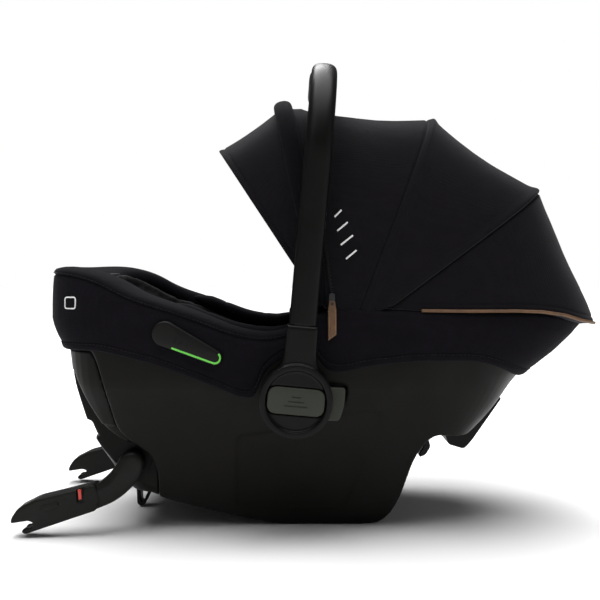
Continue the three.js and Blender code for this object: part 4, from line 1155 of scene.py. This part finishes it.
def guide_edge(line):
    """The part of a line that follows the guide's lower edge and its small end."""
    ahead = unit(GUIDE_TO - GUIDE_FROM)
    along = (line - GUIDE_FROM) @ ahead
    up = (line - GUIDE_FROM) @ np.array([-ahead[1], ahead[0]])
    return line[((up < 1.0) & (along > 14)) | ((up < 6.0) & (along > 64))]


def make_guides():
    along, across = np.array([0.904, -0.428]), np.array([0.428, 0.904])
    for side, word in SIDES:
        plate = rounded_plate(guide_outline(), side, GUIDE_FACE, GUIDE_FACE + 5.0, 2.2, crown=0.7,
                              arc=5)
        bars = []
        for at, long in ((14, 7), (21, 5), (28, 3.4)):
            middle = GUIDE_FROM + along * at
            bar = [middle + across * long * b / 2 + along * a * 0.9
                   for a, b in ((-1, -1), (1, -1), (1, 1), (-1, 1))]
            bars.append(side_prism(np.array(bar), side, GUIDE_FACE + 4.9, GUIDE_FACE + 8))
        boolean(plate, "DIFFERENCE", *bars)
        smooth_by_angle(plate, 40)
        piece(plate, "trim_black", "seat", [f"belt_guide_{word}"], f"guide_plate_{word}")
        path = [(x, side * (GUIDE_FACE + 5.15), z)
                for x, z in guide_edge(resample(guide_outline(2.3, 30), 1.0))]
        trim = tube("trim", spaced(path, 1.2), 1.15, 8)
        piece(trim, "guide_green", "seat", [f"belt_guide_trim_{word}"], f"guide_line_{word}")


# ---- seat padding -----------------------------------------------------------------------------
PAD_INSET, PAD_THICK, INSERT_THICK, HEAD_THICK, CLEAR = 23.6, 12.0, 16.0, 18.0, 0.3
INSERT_TOP = [(-92, -300), (-92, 100), (-74, 160, 20), (-30, 214, 20), (60, 232), (180, 240),
              (280, 252), (FAR, 262)]
HEAD_TOP = [(128, -300), (128, 150), (134, 196, 14), (160, 226, 20), (290, 240), (FAR, 250)]
PAD_POCKET = [(64, 256), (126, 256), (130, 261), (194, 266), (194, 302), (64, 302)]
FILL_FRAMES = 20


def raised(line, by):
    return [(p[0], p[1] + by, *p[2:]) for p in line]


def above_seat(rise):
    return prism([*raised(SEAT_LINE, rise), (FAR, 500), (-FAR, 500)], -FAR, FAR)


def padding(inset, rise, thickness, top_line, *cuts):
    """A layer of padding that follows the tub's walls and the seat line."""
    body = tub_solid(-inset, 160)
    below = [(FAR, -300)] if top_line[0][1] < 0 else [(FAR, -300), (-FAR, -300)]
    boolean(body, "INTERSECT", above_seat(rise), prism([*top_line, *below], -FAR, FAR))
    inside = tub_solid(-inset - thickness, 160)
    boolean(inside, "INTERSECT", above_seat(rise + thickness))
    return boolean(body, "DIFFERENCE", inside, *cuts)


def puffed(obj, voxel, cap, shrink=1.5):
    """Fills a sewn case: a closed solid is inflated as cloth, each point moving at most cap mm."""
    remeshed(obj, voxel, 4)
    start = vertex_values(obj, "co") - vertex_values(obj, "normal") * shrink / 1000
    set_coordinates(obj, start)
    mod = obj.modifiers.new("fill", "CLOTH")
    cloth = mod.settings
    cloth.quality = 4
    cloth.mass = 0.3
    cloth.tension_stiffness = cloth.compression_stiffness = 12
    cloth.bending_stiffness = 0.6
    cloth.use_pressure = True
    cloth.uniform_pressure_force = 4.0
    cloth.effector_weights.gravity = 0
    mod.point_cache.frame_start, mod.point_cache.frame_end = 1, FILL_FRAMES
    scene = bpy.context.scene
    for step in range(1, FILL_FRAMES + 1):
        scene.frame_set(step)
    filled = obj.evaluated_get(bpy.context.evaluated_depsgraph_get())
    mesh = filled.to_mesh()
    co = np.zeros(len(mesh.vertices) * 3)
    mesh.vertices.foreach_get("co", co)
    filled.to_mesh_clear()
    obj.modifiers.clear()
    scene.frame_set(1)
    shift = co.reshape(-1, 3) - start
    size = np.linalg.norm(shift, axis=1, keepdims=True)
    set_coordinates(obj, start + shift * np.minimum(1, cap / 1000 / np.maximum(size, 1e-9)))
    return obj


def sewn(obj, seams, depth, width):
    """Draws a filled case in along its seams; each seam gives the distance to it in mm."""
    co = vertex_values(obj, "co")
    mm = (co - ORIGIN) * 1000
    press = np.zeros(len(co))
    for seam in seams:
        d = seam(mm)
        press = np.maximum(press, gauss(d, width) + 0.28 * gauss(d, width * 3.2))
    soft = noise3(mm, 60, 11) * 0.7 + noise3(mm, 22, 12) * 0.35
    moved = ((soft - depth * press) / 1000)[:, None]
    set_coordinates(obj, co + vertex_values(obj, "normal") * moved)
    evaluated(obj, ("SUBSURF", {"levels": 1, "render_levels": 1}))
    obj.data.shade_smooth()
    return obj


def at_x(*places):
    return [lambda p, x=x: np.abs(p[:, 0] - x) for x in places]


def below_line(line, drop):
    follow = line_of(line)
    return lambda p: np.abs(p[:, 2] - follow(p[:, 0]) + drop)


def make_padding():
    layers = (
        # The liner fabric is lighter than the cover fabric: painted light for the shaded walls inside the seat.
        ("seat_pad", "pad_liner", "liner_fabric", 0.4, PAD_THICK, raised(CREST, -8 - CLEAR),
         [side_prism(PAD_POCKET, side, 150, 200) for side in (-1, 1)],
         (4.6, 5.5), [*at_x(-175, -96, 10), below_line(CREST, 22)], 2.6, 2.2),
        ("seat_insert", "insert_cushion", "insert_fabric", 0.6, INSERT_THICK, INSERT_TOP,
         [prism([(-110, 100), (-57, 100), (-57, 160), (-110, 160)], -21, 21)],
         (5.0, 7.0), [*at_x(-30, 20, 70), below_line(INSERT_TOP[2:], 17)], 3.2, 3.0),
        ("head_support", "head_cushion", "insert_fabric", 0.6, HEAD_THICK, HEAD_TOP, [],
         (5.0, 8.0), [*at_x(176), lambda p: np.abs(np.abs(p[:, 1]) - 58.0)], 3.4, 3.2))
    inset, rise = PAD_INSET, CLEAR
    for cad_node, name, slot, fill, thickness, top, cuts, puff, seams, depth, width in layers:
        pad = padding(inset, rise, thickness, top, *cuts)
        puffed(pad, *puff)
        sewn(pad, seams, depth, width)
        piece(pad, slot, "seat", [cad_node], name)
        inset += thickness + CLEAR
        rise += thickness + CLEAR


def make_bolsters():
    """The soft rolls sewn along the inside of the crest, beside the legs."""
    x = np.arange(-152, 9, 3.0)
    z = line_of(CREST)(x) - 5.0
    ends = np.clip(np.minimum(x - x[0], x[-1] - x) / 26, 0.02, 1) ** 0.5
    size = ends * (1 - 0.10 * gauss(x + 104, 3.0) - 0.07 * gauss(x + 46, 3.0))
    for side, word in SIDES:
        path = np.stack([x, wall_at(x, z, -PAD_INSET - 9.0, side), z], axis=1)
        rings = []
        for p, scale in zip(path, size):
            a, b = section(12.0 * scale, 10.0 * scale, 2.2, 30)
            rings.append([(p[0], p[1] + u, p[2] + v) for u, v in zip(a, b)])
        roll = loft("bolster", rings)
        piece(roll, "cover_fabric", "seat", [], f"leg_bolster_{word}")


# ---- harness ----------------------------------------------------------------------------------
SHOULDER = np.array([(2, 0, 196), (40, 6, 202), (90, 14, 206), (130, 18, 213), (170, 20, 226),
                     (206, 20, 250)], float)
# How far the shoulder pads drift outward along x.
SHOULDER_DRIFT = [40, 90, 130, 170], [6, 14, 18, 20]
CROTCH = [(-72, 0, 124), (-67, 0, 131), (-62.5, 0, 139)]
ADJUSTER = [(-165, 0, 184), (-190, 0, 210), (-222, 0, 243), (-250, 0, 272)]


def curve_through(points):
    """A smooth line through points, with ten steps from each to the next."""
    points = np.asarray(points, float)
    ends = np.vstack([2 * points[0] - points[1], points, 2 * points[-1] - points[-2]])
    made = []
    for i in range(1, len(points)):
        a, b, c, d = ends[i - 1:i + 3]
        made += [0.5 * (2 * b + (c - a) * t + (2 * a - 5 * b + 4 * c - d) * t * t
                        + (3 * b - a - 3 * c + d) * t ** 3) for t in np.arange(10) / 10]
    return np.array([*made, points[-1]])


def ribbon(name, path, half, thickness):
    """Webbing along a path, wide across the seat, with rolled edges."""
    path = spaced(path, 3.0)
    across = np.array([0, 1.0, 0])
    a, b = section(half, thickness / 2, 5.0, 36)
    b = b * (1 + 0.22 * gauss(np.abs(a) - half * 0.93, half * 0.07)) - thickness / 2
    rings = []
    for p, along in zip(path, tangents(path)):
        rings.append(p + a[:, None] * across + b[:, None] * unit(np.cross(along, across)))
    return loft(name, rings)


def make_harness():
    for side, word in SIDES:
        points = SHOULDER * np.array([1, side, 1]) + np.array([0, side * 22, 0])
        line = curve_through(points)
        strap = ribbon("strap", line + np.array([0, 0, 2.4]), 17, 2.4)
        piece(strap, "webbing", "seat", [f"shoulder_strap_{word}"], f"harness_strap_{word}")
        rows = [line + np.array([0, y, 2.9]) for y in (-13.5, 13.5)]
        piece(stitching(f"harness_thread_{word}", rows, 2.4, 1.6, 0.28), "thread", "seat")
        pad = ribbon("pad", curve_through(points[1:5]) + np.array([0, 0, 12.4]), 24, 9)
        puffed(pad, 3.2, 5.0, shrink=1.0)

        def edge(p, s=side):
            return np.abs(np.abs(p[:, 1] - s * (22 + np.interp(p[:, 0], *SHOULDER_DRIFT))) - 18)

        sewn(pad, [edge, *at_x(52, 158)], 1.6, 1.6)
        piece(pad, "insert_fabric", "seat", [f"shoulder_pad_{word}"], f"strap_pad_{word}")
    for node_name, name, points, half, thickness in (
            ("crotch_strap", "crotch_webbing", CROTCH, 19, 3),
            ("adjuster_strap", "adjuster_webbing", ADJUSTER, 12.5, 2.4)):
        piece(ribbon(name, curve_through(points), half, thickness), "webbing", "seat", [node_name])


# ---- lower anchor arms ------------------------------------------------------------------------
SLEEVE = [(-336, 18, 1.5), (-335, 23.5, 3), (-327.5, 35, 5), (-305, 46.4, 6), (-257, 58, 8),
          (-236, 64, 5), (-229, 48, 6), (-234.6, 32.5, 5), (-264, 22.8), (-318.7, 4.2, 3),
          (-323, 7.3, 2), (-321, 10.8, 1.5), (-309.5, 12.4, 1.5), (-309.2, 18, 2),
          (-315, 20.2, 1.5), (-334.5, 17.2, 1.5)]
ELBOW = [(-262, 52), (-234.6, 62, 6), (-220.8, 74, 10), (-211.7, 87, 10), (-206, 98.5, 8),
         (-190, 103.5, 12), (-179.5, 92, 10), (-180.5, 78, 10), (-187, 66, 10), (-199, 53, 10),
         (-215, 41, 12), (-236, 32.5, 8), (-262, 24)]
SEAM = [(-273.6, 70), (-272.4, 70), (-264.2, 10), (-265.4, 10)]
WINDOW = [(-258.5, 60), (-249, 60), (-248.5, 43, 2), (-257, 42, 2)]
JAW_ROOM = [(-330, 22), (-303, 27, 3), (-292, 17, 3), (-300, 7, 3), (-322, 2)]
SLEEVE_CUTS = ((SEAM, 153.1, 160), (SEAM, 120, 126.9), (WINDOW, 150.6, 160), (JAW_ROOM, 134, 146))
RELEASE_PAD = [(-299, 31, 4), (-277, 37.6, 4), (-279.6, 45, 4), (-301, 38.4, 4)]
LENS = [(-256.4, 57.4, 1.2), (-252.2, 57.4, 1.2), (-251.6, 46, 1.2), (-255.2, 45.4, 1.2)]
ANCHOR_AXIS = (-195, 85)


def make_anchor_arms():
    for side, word in SIDES:
        elbow = rounded_plate(ELBOW, side, 127.5, 152.0, 6.5, crown=1.6, arc=6, back_radius=4)
        sleeve = rounded_plate(SLEEVE, side, 126, 154, 3.2, crown=0.4, arc=5, back_radius=3)
        boolean(sleeve, "DIFFERENCE", *[side_prism(shape, side, inner, outer) for
                                        shape, inner, outer in SLEEVE_CUTS])
        remeshed(sleeve, 0.9, 3)
        boolean(elbow, "DIFFERENCE", cylinder(ANCHOR_AXIS, 7.2, side, 120, 146))
        remeshed(elbow, 1.3, 8)
        piece(sleeve, "arm_black", "anchor_arms", [f"anchor_arm_{word}"], f"anchor_sleeve_{word}")
        piece(elbow, "arm_black", "anchor_arms", [], f"anchor_elbow_{word}")
        pad = rounded_plate(RELEASE_PAD, side, 150, 155.1, 0.9, crown=0.3)
        piece(pad, "arm_black", f"anchor_release_{word}", [f"anchor_release_{word}"],
              f"release_pad_{word}")
        lens = rounded_plate(LENS, side, 150.0, 153.4, 0.6)
        piece(lens, "indicator_red", "anchor_arms", [], f"anchor_flag_{word}")
    bolt = cylinder(ANCHOR_AXIS, 6.9, 1, -145.5, 145.5)
    piece(bolt, "steel", "anchor_arms", ["anchor_shaft"], "anchor_bolt")


# ---- release tabs, base hook and front foot ---------------------------------------------------
TAB = [(28, 145, 3), (48.5, 144.5, 3), (54.6, 160, 10), (56, 181.5, 3), (28, 183, 3)]
HOOK = [(162, 132, 2), (177, 132, 2), (175, 94, 3), (179, 80, 4), (172, 69, 3), (164, 66, 2),
        (163, 71, 2), (169, 80, 3), (166, 120, 3)]
FOOT_LOOP = [(-213, 66), (-211.6, 27, 3), (-210.8, 4.5, 4), (-205.2, 0.8, 3), (-199.8, 4.5, 3),
             (-191.4, 24, 3), (-190, 66)]
FOOT_GAP = [(-206.4, 25, 1.5), (-205.8, 6.8, 1.5), (-203.2, 6.0, 1.5), (-195.6, 22.5, 1.5)]


def make_tabs():
    hook = remeshed(prism(HOOK, -10.5, 10.5), 1.0, 3)
    piece(hook, "hook_black", "latch", ["latch_hook"], "base_hook")
    for side, word in SIDES:
        boss = smooth_by_angle(cylinder(HUB, 36.4, side, 171, 194.6, 96), 40)
        piece(boss, "shell_plastic", "seat", [f"hub_base_{word}"], f"hub_boss_{word}")
        tab = rounded_plate(TAB, side, 184.6, 194.2, 1.5, crown=0.3, arc=5)
        piece(tab, "button_grey", f"release_tab_{word}", [f"release_tab_{word}"],
              f"tab_plate_{word}")


def make_foot():
    loop = boolean(prism(FOOT_LOOP, -11, 11), "DIFFERENCE", prism(FOOT_GAP, -20, 20))
    piece(remeshed(loop, 0.9, 3), "trim_black", "seat", ["front_foot"], "foot_loop")


# ---- camera, light and floor --------------------------------------------------------------------
def make_camera():
    data = bpy.data.cameras.new("camera")
    data.sensor_width = 36
    data.lens = 55.86
    data.shift_x = 0.00667
    data.shift_y = -0.0567
    camera = link("camera", data)
    camera.location = (-0.01719, -1.246, 0.320)
    camera.rotation_euler = (math.pi / 2, 0, 0)
    bpy.context.scene.camera = camera


def area_light(name, place, target, size, power):
    data = bpy.data.lights.new(name, "AREA")
    data.shape = "DISK"
    data.size = size
    data.energy = power
    lamp = link(name, data)
    lamp.location = place
    aim = Vector(target) - Vector(place)
    lamp.rotation_euler = aim.to_track_quat("-Z", "Y").to_euler()


def make_world():
    """A white surround to the camera that gives only a tenth of its light to the part."""
    world = bpy.data.worlds.new("studio")
    world.use_nodes = True
    tree = world.node_tree
    seen = node(tree, "ShaderNodeLightPath").outputs["Is Camera Ray"]
    strength = node(tree, "ShaderNodeMapRange", {"Value": seen, "To Min": 0.10, "To Max": 1.0})
    background = tree.nodes["Background"]
    background.inputs[0].default_value = (1, 1, 1, 1)
    tree.links.new(strength.outputs[0], background.inputs[1])
    bpy.context.scene.world = world
    bpy.context.scene.view_settings.view_transform = "Standard"


def make_floor():
    half, z = 12.0, -0.0002
    corners = np.array([(-half, -half, z), (half, -half, z), (half, half, z), (-half, half, z)])
    floor = mesh_object("floor", (corners - ORIGIN) * 1000, [(0, 1, 2, 3)], smooth=False)
    material, tree, shader, where = start_material("floor_pale", 0.9, specular=0.1)
    tree.links.new(two_tone(tree, where, (0.92, 0.92, 0.92), (0.94, 0.94, 0.94), 3.0),
                   shader.inputs["Base Color"])
    floor.data.materials.append(material)


def make_stage():
    make_world()
    make_floor()
    sun = bpy.data.lights.new("overhead", "SUN")
    sun.energy = 4.4
    sun.angle = math.radians(65)
    link("overhead", sun).location = (0, 0, 3)
    area_light("key", (-1.0, -1.7, 2.0), (0, 0, 0.3), 1.2, 6)
    area_light("side", (1.9, -1.3, 1.2), (0, 0, 0.25), 1.2, 2)
    area_light("back", (-0.3, 1.7, 2.5), (0, 0, 0.4), 1.4, 45)


def dress_cad():
    """Gives each CAD node that still shows its finish, with its edges eased."""
    slots = {p["node"]: p["material_slot"] for p in frame["record"]["subparts"]}
    for name, obj in frame["nodes"].items():
        if obj.hide_render:
            continue
        obj.data.materials.clear()
        obj.data.materials.append(MATERIALS[slots[name]])
        mod = obj.modifiers.new("edge", "BEVEL")
        mod.width = 0.0007
        mod.segments = 2
        mod.limit_method = "ANGLE"
        mod.angle_limit = math.radians(40)
        mod.use_clamp_overlap = True


make_camera()
make_stage()
make_shell()
make_front_panel()
make_covers()
make_handle()
make_canopy()
make_visor()
make_rim()
make_piping()
make_zipper()
make_pulls()
make_guides()
make_padding()
make_bolsters()
make_harness()
make_anchor_arms()
make_foot()
make_tabs()
dress_cad()
